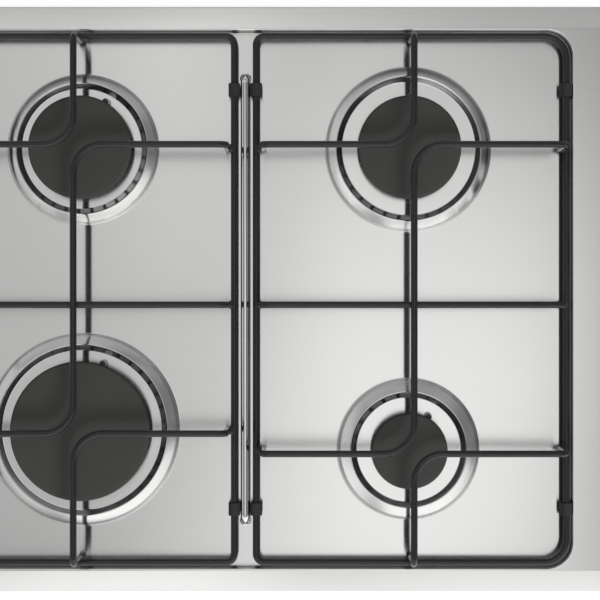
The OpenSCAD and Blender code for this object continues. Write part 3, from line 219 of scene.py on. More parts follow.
class Grain(Enum):
    """How the fine pattern of a finish lies."""

    EVEN = (1.0, 1.0, 1.0)
    ALONG_X = (0.02, 1.0, 1.0)


@dataclass(frozen=True)
class Finish:
    """One finish: its colour, its gloss and its fine detail."""

    name: str
    colour: Point
    metallic: float = 0.0
    roughness: float = 0.5
    specular: float = 0.5
    anisotropy: float = 0.0
    grain: Grain = Grain.EVEN
    grain_size: float = 1.0
    cloud_size: float = 40.0
    shade: float = 0.08
    cloud: float = 0.04
    rough_span: float = 0.05
    least_rough: float = 0.02
    bump: float = 0.01
    spangle: float = 0.0
    spangle_share: float = 0.3
    brushing_map: str = ""
    drawn_map: str = ""
    drawn_roughness: float = 0.08
    # Painted shade: on the points of this mark the colour is multiplied down to the next setting's
    # factor, in place of shade and the dark reflection of the black wire.
    painted_shade_map: str = ""
    painted_shade_tone: float = 0.3

    def _tone(self, factor: float) -> tuple[float, ...]:
        """The colour made lighter or darker by a factor."""
        return (*(min(1.0, channel * factor) for channel in self.colour), 1.0)

    def _surface(self, sheet: NodeSheet) -> tuple[NodeSocket, NodeSocket, NodeSocket]:
        """Lays down what changes over the surface.

        Args:
            sheet: the material's nodes.

        Returns:
            The sockets of the colour, the roughness and the fine pattern.
        """
        place = sheet.add("ShaderNodeTexCoord").outputs["Object"]
        lie = {"Vector": place, "Scale": self.grain.value}
        grained = sheet.out("ShaderNodeMapping", lie)
        fine = rough_source = sheet.noise(grained, self.grain_size, 3.0)
        clouds = sheet.noise(grained, self.cloud_size, 2.0)
        shade = sheet.mix(fine, self._tone(1.0 - self.shade), self._tone(1.0 + self.shade))
        colour = sheet.scale(shade, sheet.span(clouds, 1.0 - self.cloud, 1.0 + self.cloud))
        if self.spangle > 0.0:
            size = self.cloud_size * self.spangle_share * MM
            crystals = sheet.add("ShaderNodeTexVoronoi", {"Vector": place, "Scale": 1.0 / size})
            rough_source = crystals.outputs["Color"]
            tone = sheet.span(rough_source, 1.0 - self.spangle, 1.0 + self.spangle)
            colour = sheet.scale(colour, tone)
        smoothest = max(self.least_rough, self.roughness - self.rough_span)
        roughness = sheet.span(rough_source, smoothest, self.roughness + self.rough_span)
        if self.drawn_map:
            drawn = sheet.mark(self.drawn_map)
            smoother = sheet.math("SUBTRACT", self.drawn_roughness, roughness)
            roughness = sheet.math("MULTIPLY_ADD", drawn, smoother, roughness)
        # Painted shade: the colour on the marked points is scaled down to the tone factor.
        if self.painted_shade_map:
            painted_shade_mark = sheet.mark(self.painted_shade_map)
            colour = sheet.scale(colour, sheet.math("MULTIPLY_ADD", painted_shade_mark, self.painted_shade_tone - 1.0, 1.0))
        return colour, roughness, fine

    def build(self) -> bpy.types.Material:
        """Makes the material.

        Returns:
            The material, or the one already made under this name.
        """
        title = f"{self.name}_finish"
        if title in bpy.data.materials:
            return bpy.data.materials[title]
        material, sheet = new_material(title)
        colour, roughness, fine = self._surface(sheet)
        relief = {"Strength": 1.0, "Distance": self.bump * MM, "Height": fine}
        values: dict[str, Any] = {
            "Base Color": colour,
            "Metallic": self.metallic,
            "Roughness": roughness,
            "Specular IOR Level": self.specular,
            "Anisotropic": self.anisotropy,
            "Normal": sheet.out("ShaderNodeBump", relief),
        }
        if self.brushing_map:
            values["Tangent"] = sheet.out(
                "ShaderNodeTangent", direction_type="UV_MAP", uv_map=self.brushing_map
            )
        shader = sheet.out("ShaderNodeBsdfPrincipled", values)
        sheet.add("ShaderNodeOutputMaterial", {"Surface": shader})
        return material


BRUSHING = "brushing"
DRAWN = "drawn"
# The mark of the painted shade on the well wall.
PAINTED_WALL_SHADE = "wall_gap"
FINISHES = {finish.name: finish for finish in (
    Finish(
        "brushed_top", (0.80, 0.80, 0.79), metallic=1.0, roughness=0.155, anisotropy=1.0,
        grain=Grain.ALONG_X, grain_size=0.35, cloud_size=14.0, shade=0.03, cloud=0.012,
        rough_span=0.02, bump=0.0005, brushing_map=BRUSHING,
        # Painted shade on the well wall: its colour there drops to 0.24 of the steel's.
        drawn_map=DRAWN, drawn_roughness=0.12, painted_shade_map=PAINTED_WALL_SHADE, painted_shade_tone=0.24,
    ),
    Finish(
        "galvanised", (0.60, 0.62, 0.63), metallic=0.9, roughness=0.38, cloud_size=30.0,
        shade=0.05, cloud=0.05, rough_span=0.10, spangle=0.16, bump=0.004,
    ),
    Finish(
        "zinc_screw", (0.70, 0.70, 0.67), metallic=1.0, roughness=0.30, grain_size=0.6,
        shade=0.06, bump=0.004,
    ),
    Finish(
        "chrome_rod", (0.86, 0.86, 0.87), metallic=1.0, roughness=0.07, grain_size=1.5,
        shade=0.01, cloud=0.02, rough_span=0.03, bump=0.0005,
    ),
    Finish(
        "cast_aluminium", (0.76, 0.76, 0.75), metallic=0.75, roughness=0.40, grain_size=0.7,
        shade=0.08, bump=0.02,
    ),
    Finish(
        "pipe_aluminium", (0.80, 0.80, 0.80), metallic=1.0, roughness=0.28,
        grain=Grain.ALONG_X, grain_size=0.8, shade=0.05, bump=0.002,
    ),
    Finish(
        "brass", (0.80, 0.62, 0.30), metallic=1.0, roughness=0.28, grain_size=0.9,
        shade=0.08, cloud=0.08, bump=0.004,
    ),
    Finish(
        "steel_tube", (0.62, 0.63, 0.64), metallic=0.95, roughness=0.34, grain_size=0.9,
        shade=0.06, bump=0.004,
    ),
    Finish("ceramic", (0.50, 0.49, 0.46), roughness=0.35, grain_size=1.2, shade=0.05, bump=0.004),
    Finish(
        "electrode_steel", (0.05, 0.05, 0.05), metallic=0.6, roughness=0.45, grain_size=0.6,
        shade=0.25, bump=0.01,
    ),
    Finish(
        "switch_plastic", (0.82, 0.82, 0.79), roughness=0.42, grain_size=0.5, shade=0.03,
        bump=0.008,
    ),
    Finish(
        "black_rubber", (0.022, 0.022, 0.022), roughness=0.62, specular=0.25, grain_size=0.7,
        shade=0.15, bump=0.02,
    ),
    Finish(
        "foam", (0.05, 0.05, 0.05), roughness=0.9, specular=0.2, grain_size=0.9, shade=0.35,
        bump=0.15,
    ),
    Finish(
        "black_enamel", (0.011, 0.011, 0.011), roughness=0.14, specular=0.45, grain_size=1.6,
        cloud_size=9.0, shade=0.15, cloud=0.08, rough_span=0.04, bump=0.003,
    ),
    Finish(
        "cap_enamel", (0.039, 0.039, 0.037), roughness=0.76, specular=0.20, grain_size=0.9,
        cloud_size=22.0, shade=0.07, cloud=0.05, rough_span=0.06, bump=0.014,
    ),
    Finish(
        "knob_plastic", (0.028, 0.028, 0.028), roughness=0.36, specular=0.4, grain_size=0.35,
        shade=0.1, bump=0.008,
    ),
    Finish("print_ink", (0.10, 0.10, 0.10), grain_size=0.4, shade=0.1, bump=0.002),
    Finish(
        "pointer_white", (0.80, 0.80, 0.78), roughness=0.4, grain_size=0.5, shade=0.03,
        bump=0.004,
    ),
)}

NODE_FINISHES = {
    "galvanised": ("base_pan", "base_brackets", "fixing_clamps", "tap_rail"),
    "foam": ("worktop_seal",),
    "zinc_screw": ("case_screws", "rod_nuts", "tap_screws", "tap_clamps"),
    "cast_aluminium": tuple(f"burner_cup_{b.name}" for b in BURNERS),
    "brass": (
        "injectors", "gas_taps", "gas_inlet_elbow", "pipe_nuts",
        *(f"tap_spindle_{b.name}" for b in BURNERS),
    ),
    "ceramic": ("spark_ceramics",),
    "electrode_steel": ("spark_pins",),
    "steel_tube": ("gas_manifold",),
    "pipe_aluminium": tuple(f"gas_pipe_{b.name}" for b in BURNERS),
    "switch_plastic": (
        "ignition_switches", "spark_generator", "terminal_block",
        *(f"switch_collar_{b.name}" for b in BURNERS),
    ),
    "black_rubber": ("ignition_leads", "cord_gland", "knob_seals"),
}


# ---- Meshes ----


def circle(x: float, y: float, r: float, z: float, count: int) -> list[Point]:
    """Points of a level circle, anticlockwise from +X."""
    turns = [math.tau * i / count for i in range(count)]
    return [(x + r * math.cos(t), y + r * math.sin(t), z) for t in turns]


def arc(r: float, degrees: float) -> list[Flat]:
    """Points of an arc that starts upwards from the origin and bends to +X."""
    turns = [math.radians(degrees * i / CORNER_STEPS) for i in range(CORNER_STEPS + 1)]
    return [(r * (1 - math.cos(t)), r * math.sin(t)) for t in turns]


def rounded_rect(
    x: float, half_w: float, half_d: float, r: float, z: float, steps: int = 14
) -> list[Point]:
    """Points of a level rectangle with round corners, centred on Y = 0.

    Args:
        x: where its centre lies along X.
        half_w: half its width.
        half_d: half its depth.
        r: its corner radius.
        z: its height.
        steps: the steps round each corner.

    Returns:
        The points, anticlockwise from the rear right corner.
    """
    points = []
    for corner, (side_x, side_y) in enumerate(((1, 1), (-1, 1), (-1, -1), (1, -1))):
        middle_x, middle_y = x + side_x * (half_w - r), side_y * (half_d - r)
        for step in range(steps + 1):
            turn = math.pi / 2 * (corner + step / steps)
            points.append((middle_x + r * math.cos(turn), middle_y + r * math.sin(turn), z))
    return points


def flat(points: Iterable[Point]) -> list[Flat]:
    """The points without their heights."""
    return [(x, y) for x, y, _ in points]


def soften(line: Sequence[Flat], rounds: int = 3) -> list[Flat]:
    """Cuts the corners of an open line again and again, and keeps its ends.

    Args:
        line: the points of the line.
        rounds: how often the corners are cut.

    Returns:
        The smoother line.
    """
    points = list(line)
    for _ in range(rounds):
        cut = [points[0]]
        for (ax, ay), (bx, by) in zip(points, points[1:]):
            cut.append((0.75 * ax + 0.25 * bx, 0.75 * ay + 0.25 * by))
            cut.append((0.25 * ax + 0.75 * bx, 0.25 * ay + 0.75 * by))
        points = cut + [points[-1]]
    return points


def round_corners(line: Sequence[Point]) -> list[Flat]:
    """Rounds the corners of an open line.

    Args:
        line: its points, each with the length that is cut off on both sides of the corner.

    Returns:
        The points of the rounded line.
    """
    points = [line[0][:2]]
    for (ax, ay, _), (x, y, cut), (bx, by, _) in zip(line, line[1:], line[2:]):
        start, corner, end = Vector((ax, ay)), Vector((x, y)), Vector((bx, by))
        first = corner + (start - corner).normalized() * cut
        last = corner + (end - corner).normalized() * cut
        for step in range(CORNER_STEPS + 1):
            t = step / CORNER_STEPS
            spot = first * (1 - t) ** 2 + corner * (2 * t * (1 - t)) + last * t**2
            points.append((spot.x, spot.y))
    return points + [line[-1][:2]]


def pairs_round(items: list[Any]) -> Iterable[tuple[Any, Any]]:
    """Each item of a closed list with the next one."""
    return zip(items, items[1:] + items[:1])


def mark_points(mesh: Mesh, name: str, kind: str, values: Sequence[float]) -> None:
    """Gives each point of a mesh a number, or three of them where the kind is a vector."""
    layer = mesh.attributes.new(name, kind, "POINT")
    layer.data.foreach_set("value" if kind == "FLOAT" else "vector", values)


def smooth(mesh: Mesh, crease: float) -> None:
    """Shades a mesh smooth but for edges over an angle in degrees."""
    mesh.shade_smooth()
    mesh.set_sharp_from_angle(angle=math.radians(crease))


class Draft:
    """A mesh while it is being made, in millimetres."""

    def __init__(self) -> None:
        """Starts with nothing in the mesh."""
        self.mesh = bmesh.new()

    def ring(self, points: Iterable[Sequence[float]]) -> Ring:
        """Adds the points of one closed ring, and returns its vertices."""
        return [self.mesh.verts.new(point) for point in points]

    def bridge(self, first: Ring, second: Ring) -> None:
        """Joins two rings of as many points with a band of faces."""
        for (a, b), (d, c) in zip(pairs_round(first), pairs_round(second)):
            self.mesh.faces.new((a, b, c, d))

    def bands(self, rings: Sequence[Ring]) -> None:
        """Joins each ring to the next one."""
        for first, second in zip(rings, rings[1:]):
            self.bridge(first, second)

    def fill(self, *rings: Ring) -> None:
        """Fills the level space between an outer ring and the holes in it.

        Args:
            *rings: the outer ring and then the rings of the holes.
        """
        pairs = [pair for ring in rings for pair in pairs_round(ring)]
        edges = [self.mesh.edges.get(pair) or self.mesh.edges.new(pair) for pair in pairs]
        bmesh.ops.triangle_fill(self.mesh, use_beauty=True, edges=edges, normal=(0, 0, 1))

    def lathe(
        self, profile: Sequence[Flat], count: int, centre: Point = (0.0, 0.0, 0.0),
        closed: bool = False,
    ) -> list[Ring]:
        """Turns a profile of radii and heights about Z.

        Args:
            profile: its radius and height at each point. A radius of 0 makes a pole.
            count: the steps round.
            centre: where the axis stands.
            closed: whether the last point is joined to the first.

        Returns:
            The rings of vertices.
        """
        x, y, z = centre
        rings = [
            self.ring(circle(x, y, r, z + h, count) if r > 0 else [(x, y, z + h)])
            for r, h in profile
        ]
        for first, second in pairs_round(rings) if closed else zip(rings, rings[1:]):
            if len(first) > 1 and len(second) > 1:
                self.bridge(first, second)
            elif len(first) != len(second):
                pole, ring = sorted((first, second), key=len)
                for a, b in pairs_round(ring):
                    self.mesh.faces.new((*pole, a, b))
        return rings

    def prism(self, outline: Sequence[Flat], low: float, high: float) -> None:
        """Adds an upright solid on a level outline.

        Args:
            outline: its points, anticlockwise.
            low: the height of its bottom.
            high: the height of its top.
        """
        bottom, top = [self.ring((x, y, z) for x, y in outline) for z in (low, high)]
        self.bridge(bottom, top)
        self.mesh.faces.new(bottom[::-1])
        self.mesh.faces.new(top)

    def bevel(self, edges: list[bmesh.types.BMEdge], offset: float, segments: int) -> None:
        """Rounds edges by an offset, in so many segments."""
        bmesh.ops.bevel(self.mesh, geom=edges, offset=offset, segments=segments, affect="EDGES")

    def finish(self, name: str, crease: float = CREASE, open_sheet: bool = False) -> Mesh:
        """Turns the faces outwards, scales the mesh to metres and ends the draft.

        Args:
            name: the mesh's name.
            crease: the angle in degrees over which an edge stays sharp.
            open_sheet: whether it is a single skin that faces up.

        Returns:
            The finished mesh.
        """
        bmesh.ops.remove_doubles(self.mesh, verts=self.mesh.verts, dist=1e-5)
        bmesh.ops.recalc_face_normals(self.mesh, faces=self.mesh.faces)
        if open_sheet and sum(f.normal.z * f.calc_area() for f in self.mesh.faces) < 0:
            bmesh.ops.reverse_faces(self.mesh, faces=self.mesh.faces)
        bmesh.ops.scale(self.mesh, vec=(MM, MM, MM), verts=self.mesh.verts)
        self.mesh.edges.index_update()
        rims = [edge.index for edge in self.mesh.edges if edge.is_boundary]
        made = bpy.data.meshes.new(name)
        self.mesh.to_mesh(made)
        self.mesh.free()
        smooth(made, crease)
        for rim in rims:
            made.edges[rim].use_edge_sharp = True
        return made


def add_piece(name: str, mesh: Mesh, body: str, slot: str, *replaced: str) -> bpy.types.Object:
    """Puts a finished mesh into the scene and tells the frame about it.

    Args:
        name: the piece's name.
        mesh: its mesh, in metres and in place.
        body: the body that it rides on.
        slot: the material slot that its finish stands for.
        *replaced: the nodes that it stands for.

    Returns:
        The piece.
    """
    piece = link(name, mesh)
    if not mesh.materials:
        mesh.materials.append(FINISHES[slot].build())
    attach(piece, body)
    if replaced:
        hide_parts(*replaced)
    LOG.info("%s: %d faces on %s, finish %s", name, len(mesh.polygons), body, slot)
    return piece


# ---- Geometry Nodes ----


class Recipe:
    """A Geometry Nodes tree with named inputs. It is run once on a mesh and then taken off."""

    def __init__(self, name: str, inputs: Mapping[str, str]) -> None:
        """Makes the tree and its sockets.

        Args:
            name: the tree's name.
            inputs: for each named input, what its socket takes.
        """
        self.tree = bpy.data.node_groups.new(name, "GeometryNodeTree")
        self.sheet = NodeSheet(self.tree)
        face = self.tree.interface
        for title, kind in {"Geometry": "Geometry", **inputs, "Material": "Material"}.items():
            face.new_socket(title, in_out="INPUT", socket_type=f"NodeSocket{kind}")
        self.keys = {item.name: item.identifier for item in face.items_tree}
        face.new_socket("Geometry", in_out="OUTPUT", socket_type="NodeSocketGeometry")
        self.source = self.sheet.add("NodeGroupInput").outputs

    def stamped(self, points: NodeSocket, turns: NodeSocket) -> NodeSocket:
        """Sets a copy of the input Pattern on each point.

        Args:
            points: the points.
            turns: the turns of each copy about X, Y and Z.

        Returns:
            The copies.
        """
        pattern = self.sheet.add(
            "GeometryNodeObjectInfo", {"Object": self.source["Pattern"]},
            transform_space="ORIGINAL",
        ).outputs["Geometry"]
        rotation = self.sheet.out("FunctionNodeEulerToRotation", {"Euler": turns})
        inputs = {"Points": points, "Instance": pattern, "Rotation": rotation}
        return self.sheet.out("GeometryNodeInstanceOnPoints", inputs)

    def end(self, geometry: NodeSocket) -> None:
        """Ends the tree with real meshes that carry the material.

        Args:
            geometry: what the tree has made.
        """
        real = self.sheet.out("GeometryNodeRealizeInstances", {"Geometry": geometry})
        inputs = {"Geometry": real, "Material": self.source["Material"]}
        dressed = self.sheet.out("GeometryNodeSetMaterial", inputs)
        self.sheet.add("NodeGroupOutput", {"Geometry": dressed})

    def run(
        self, mesh: Mesh, slot: str, values: Mapping[str, Any], crease: float = CREASE,
        pattern: Mesh | None = None,
    ) -> Mesh:
        """Runs the tree on a mesh.

        Args:
            mesh: the mesh that goes in. It is used up.
            slot: the finish of what comes out.
            values: a value for each named input but the pattern.
            crease: the angle in degrees over which an edge stays sharp.
            pattern: the mesh of one copy, where the tree makes copies.

        Returns:
            The plain mesh that comes out.
        """
        holder = link("holder", mesh)
        modifier = holder.modifiers.new("recipe", "NODES")
        modifier.node_group = self.tree
        given = {**values, "Material": FINISHES[slot].build()}
        if pattern is not None:
            given["Pattern"] = link("stamp", pattern)
        for title, value in given.items():
            modifier[self.keys[title]] = value
        graph = bpy.context.evaluated_depsgraph_get()
        made = bpy.data.meshes.new_from_object(holder.evaluated_get(graph))
        bpy.data.objects.remove(holder)
        if pattern is not None:
            bpy.data.objects.remove(given["Pattern"])
        smooth(made, crease)
        return made


@dataclass(frozen=True)
class WirePath:
    """The corner points of a wire and the bend radius at each of them."""

    points: Sequence[Point]
    bends: Sequence[float]
    closed: bool = False


class WireRecipe(Recipe):
    """Round wire along the edges of a mesh, bent at each point to its own radius."""

    SIDES = 28
    BEND_STEPS = 12
    CREASE = 50.0

    def __init__(self) -> None:
        """Builds the tree."""
        inputs = {"Diameter": "Float", "Sides": "Int", "Bend steps": "Int"}
        super().__init__("wire_along_a_path", inputs)
        sheet, source = self.sheet, self.source
        path = sheet.out("GeometryNodeMeshToCurve", {"Mesh": source["Geometry"]})
        bend = sheet.out("GeometryNodeInputNamedAttribute", {"Name": "bend"}, data_type="FLOAT")
        rounded = sheet.out(
            "GeometryNodeFilletCurve",
            {"Curve": path, "Count": source["Bend steps"], "Radius": bend, "Limit Radius": True},
            mode="POLY",
        )
        section = sheet.out(
            "GeometryNodeCurvePrimitiveCircle",
            {"Resolution": source["Sides"],
             "Radius": sheet.math("MULTIPLY", source["Diameter"], 0.5)},
            mode="RADIUS",
        )
        tube = {"Curve": rounded, "Profile Curve": section, "Fill Caps": True}
        self.end(sheet.out("GeometryNodeCurveToMesh", tube))

    def wires(self, paths: Sequence[WirePath], diameter: float, slot: str) -> Mesh:
        """Makes wires of one diameter.

        Args:
            paths: the wires' paths.
            diameter: the wire's diameter.
            slot: its finish.

        Returns:
            The mesh of all the wires.
        """
        points: list[Point] = []
        edges: list[tuple[int, int]] = []
        for path in paths:
            start, count = len(points), len(path.points)
            points += [tuple(v * MM for v in p) for p in path.points]
            edges += [(start + i, start + i + 1) for i in range(count - 1)]
            if path.closed:
                edges.append((start + count - 1, start))
        mesh = bpy.data.meshes.new("paths")
        mesh.from_pydata(points, edges, [])
        mark_points(mesh, "bend", "FLOAT", [b * MM for path in paths for b in path.bends])
        values = {"Diameter": diameter * MM, "Sides": self.SIDES, "Bend steps": self.BEND_STEPS}
        return self.run(mesh, slot, values, self.CREASE)


class CopiesRecipe(Recipe):
    """A copy of a pattern at each point of a mesh, turned as the point says."""

    def __init__(self) -> None:
        """Builds the tree."""
        super().__init__("copies_at_points", {"Pattern": "Object"})
        turn = self.sheet.out(
            "GeometryNodeInputNamedAttribute", {"Name": "turn"}, data_type="FLOAT_VECTOR"
        )
        self.end(self.stamped(self.source["Geometry"], turn))

    def copies(
        self, pattern: Mesh, places: Sequence[tuple[Point, float]], slot: str,
        crease: float = CREASE,
    ) -> Mesh:
        """Puts copies of a pattern at places.

        Args:
            pattern: the mesh of one copy, about its own origin.
            places: for each copy its point, and its turn about Z in degrees.
            slot: the finish.
            crease: the angle in degrees over which an edge stays sharp.

        Returns:
            The mesh of all the copies.
        """
        mesh = bpy.data.meshes.new("places")
        mesh.from_pydata([tuple(v * MM for v in point) for point, _ in places], [], [])
        turns = [value for _, turn in places for value in (0.0, 0.0, math.radians(turn))]
        mark_points(mesh, "turn", "FLOAT_VECTOR", turns)
        return self.run(mesh, slot, {}, crease, pattern)


class AroundRecipe(Recipe):
    """Copies of a pattern evenly round the Z axis."""

    def __init__(self) -> None:
        """Builds the tree."""
        super().__init__("copies_round_an_axis", {"Pattern": "Object", "Count": "Int"})
        sheet, count = self.sheet, self.source["Count"]
        spot = {"Count": count, "Start Location": (0, 0, 0), "Offset": (0, 0, 0)}
        points = sheet.out("GeometryNodeMeshLine", spot)
        step = sheet.math("DIVIDE", math.tau, count)
        turn = sheet.math("MULTIPLY", sheet.out("GeometryNodeInputIndex"), step)
        copies = self.stamped(points, sheet.out("ShaderNodeCombineXYZ", {"Z": turn}))
        both = sheet.add("GeometryNodeJoinGeometry")
        for geometry in (self.source["Geometry"], copies):
            sheet.tree.links.new(geometry, both.inputs[0])
        self.end(both.outputs[0])

    def around(self, core: Mesh, pattern: Mesh, count: int, slot: str) -> Mesh:
        """Sets so many copies of a pattern round a core, and returns both as one mesh."""
        return self.run(core, slot, {"Count": count}, pattern=pattern)


@dataclass
class Recipes:
    """The trees that the sub-assemblies share."""

    wire: WireRecipe = field(default_factory=WireRecipe)
    copies: CopiesRecipe = field(default_factory=CopiesRecipe)
    around: AroundRecipe = field(default_factory=AroundRecipe)


# ---- Sub-assemblies ----


@dataclass
class TopSheet:
    """The pressed stainless top: border, deck, well and the four burner dishes."""

    half_w: float = 295.0
    half_d: float = 212.5
    corner_r: float = 10.0
    corner_shrink: float = 0.3
    edge_r: float = 1.5
    edge_z: float = 6.0
    sheet: float = 0.8
    deck_half_w: float = 278.0
    deck_half_d: float = 195.5
    well_half_w: float = 237.5
    well_r: float = 19.5
    fold_r: float = 1.1
    round_steps: int = 112
    lip_w: float = 4.2
    knee_out: float = 0.86
    knee_up: float = 0.47
    foot_cut: float = 0.9
    knee_cut: float = 1.0
    crest_cut: float = 0.5
    lip_cut: float = 0.8
    lip_hollow: float = 0.465
    seat_cut: float = 0.35
    electrode_hole_r: float = 2.9
    screw_hole_r: float = 1.7
    knob_hole_r: float = 6.5
    rod_hole_r: float = 3.4
    rod_leg_y: float = 160.45
    drawn_margin: float = 0.1
    dish_margin: float = 3.0
    wall_normal_z: float = 0.9
    # How far under the deck the painted shade on the well wall starts.
    painted_shade_depth: float = 0.7

    def _border(self, draft: Draft) -> Ring:
        """Makes the skirt, the rolled edge and the sloping border.

        Args:
            draft: the mesh.

        Returns:
            The ring where the deck starts.
        """
        roll_z = self.edge_z - self.edge_r
        steps = [(0.0, Z.skirt), (0.0, roll_z - 0.3)]
        steps += [(i, roll_z + up) for i, up in arc(self.edge_r, 80.0)]
        outlines = [
            (self.half_w - i, self.half_d - i, self.corner_r - self.corner_shrink * i, z)
            for i, z in steps
        ]
        # The slope's bend into the deck: how far out, how far down, corner radius.
        bend = ((1.6, 0.19, 3.6), (1.2, 0.10, 3.2), (0.9, 0.03, 2.9), (0.6, 0.0, 2.6),
                (0.3, 0.0, 2.3))
        outlines += [
            (self.deck_half_w + out, self.deck_half_d + out, r, Z.deck - drop)
            for out, drop, r in bend
        ]
        rings = [draft.ring(rounded_rect(0.0, *outline)) for outline in outlines]
        draft.bands(rings)
        return rings[-1]

    def _well(self, draft: Draft) -> tuple[Ring, Ring]:
        """Makes the folded rim, the wall and the bend into the floor.

        Args:
            draft: the mesh.

        Returns:
            The ring on the deck and the ring on the floor.
        """
        steps = [(0.2, Z.deck)]
        steps += [(-up, Z.deck - out) for out, up in arc(self.fold_r, 82.0)]
        foot = [(-1.3, Z.floor + 1.2), (-1.5, Z.floor), (-2.6, Z.floor)]
        steps += soften(foot) + [(-3.0, Z.floor)]
        rings = [
            draft.ring(rounded_rect(
                ROD_X, self.well_half_w + out, self.deck_half_d + out, self.well_r + out, z
            ))
            for out, z in steps
        ]
        draft.bands(rings)
        return rings[0], rings[-1]

    def _dish(self, draft: Draft, burner: Burner) -> Ring:
        """Makes one pressed dish with its seat and holes.

        Args:
            draft: the mesh.
            burner: the burner that it holds.

        Returns:
            The ring on the well floor.
        """
        seat_r, dish_r, crest_z, hole_r = (
            burner.seat_r, burner.dish_r, burner.crest_z, burner.hole_r
        )
        crest_r = seat_r + self.lip_w
        line = [
            (dish_r + 1.4, Z.floor, 0.0),
            (dish_r, Z.floor, self.foot_cut),
            (crest_r + self.knee_out * (dish_r - crest_r),
             Z.floor + self.knee_up * (crest_z - Z.floor), self.knee_cut),
            (crest_r, crest_z, self.crest_cut),
            (seat_r + 0.5 * self.lip_w, Z.seat + self.lip_hollow * (crest_z - Z.seat),
             self.lip_cut),
            (seat_r, Z.seat, self.seat_cut),
            (seat_r - 1.0, Z.seat, 0.0),
        ]
        profile = [(dish_r + 1.7, Z.floor), *round_corners(line), (seat_r - 1.4, Z.seat)]
        centre = (burner.x, burner.y, 0.0)
        rings = draft.lathe(profile, self.round_steps, centre)
        hole = draft.lathe(
            [(hole_r + 0.9, Z.seat), (hole_r + 0.5, Z.seat), (hole_r + 0.15, Z.seat - 0.1),
             (hole_r, Z.seat - 0.4)],
            self.round_steps, centre,
        )
        small = [draft.ring(circle(*burner.electrode, self.electrode_hole_r, Z.seat, 24))]
        for reach in (burner.screw_r, -burner.screw_r):
            screw = circle(burner.x, burner.y + reach, self.screw_hole_r, Z.seat, 16)
            small.append(draft.ring(screw))
        draft.fill(rings[-1], hole[0], *small)
        return rings[0]

    @staticmethod
    def _lay_brushing(mesh: Mesh) -> None:
        """Gives the sheet the map whose first direction runs across the brushing.

        Args:
            mesh: the sheet's mesh, in metres.
        """
        layer = mesh.uv_layers.new(name=BRUSHING)
        for loop in mesh.loops:
            x, y, z = mesh.vertices[loop.vertex_index].co
            layer.data[loop.index].uv = (y + 0.3 * z + 0.5, x + 0.3 * z + 0.5)

    def _mark_surface(self, mesh: Mesh) -> None:
        """Marks what the press has smoothed, dish lips and well wall, and the part of the wall
        that gets painted shade.

        Args:
            mesh: the sheet's mesh, in metres.
        """
        drawn, painted_shade_points = [], []
        near = self.drawn_margin
        for vertex in mesh.vertices:
            x, y, z = vertex.co / MM
            out, rim = min(
                (math.hypot(x - b.x, y - b.y) - b.seat_r, b.dish_r - b.seat_r) for b in BURNERS
            )
            on_lip = near < out < self.lip_w - near
            in_well = abs(x - ROD_X) < self.well_half_w + near and abs(y) < self.deck_half_d + near
            on_wall = out > rim + self.dish_margin and in_well
            on_wall = on_wall and vertex.normal.z < self.wall_normal_z
            drawn.append(1.0 if on_lip or on_wall else 0.0)
            # Painted shade: the wall below the deck is marked for a darker colour.
            painted_shade_points.append(1.0 if on_wall and z < Z.deck - self.painted_shade_depth else 0.0)
        mark_points(mesh, DRAWN, "FLOAT", drawn)
        mark_points(mesh, PAINTED_WALL_SHADE, "FLOAT", painted_shade_points)

    def build(self) -> None:
        """Makes the sheet, with its thickness, in place of the plain one."""
        draft = Draft()
        deck_out = self._border(draft)
        rim, floor_out = self._well(draft)
        knob_holes = [
            draft.ring(circle(KNOB_X, y, self.knob_hole_r, Z.deck, 32)) for y in KNOB_ROWS.values()
        ]
        draft.fill(deck_out, rim, *knob_holes)
        rod_holes = [
            draft.ring(circle(ROD_X, end * self.rod_leg_y, self.rod_hole_r, Z.floor, 24))
            for end in (-1, 1)
        ]
        draft.fill(floor_out, *(self._dish(draft, b) for b in BURNERS), *rod_holes)
        mesh = draft.finish("pressed_top", crease=40.0, open_sheet=True)
        self._lay_brushing(mesh)
        self._mark_surface(mesh)
        piece = add_piece("pressed_top", mesh, "hob", "brushed_top", "hob_top")
        wall = piece.modifiers.new("sheet", "SOLIDIFY")
        wall.thickness = self.sheet * MM
        wall.offset = -1.0


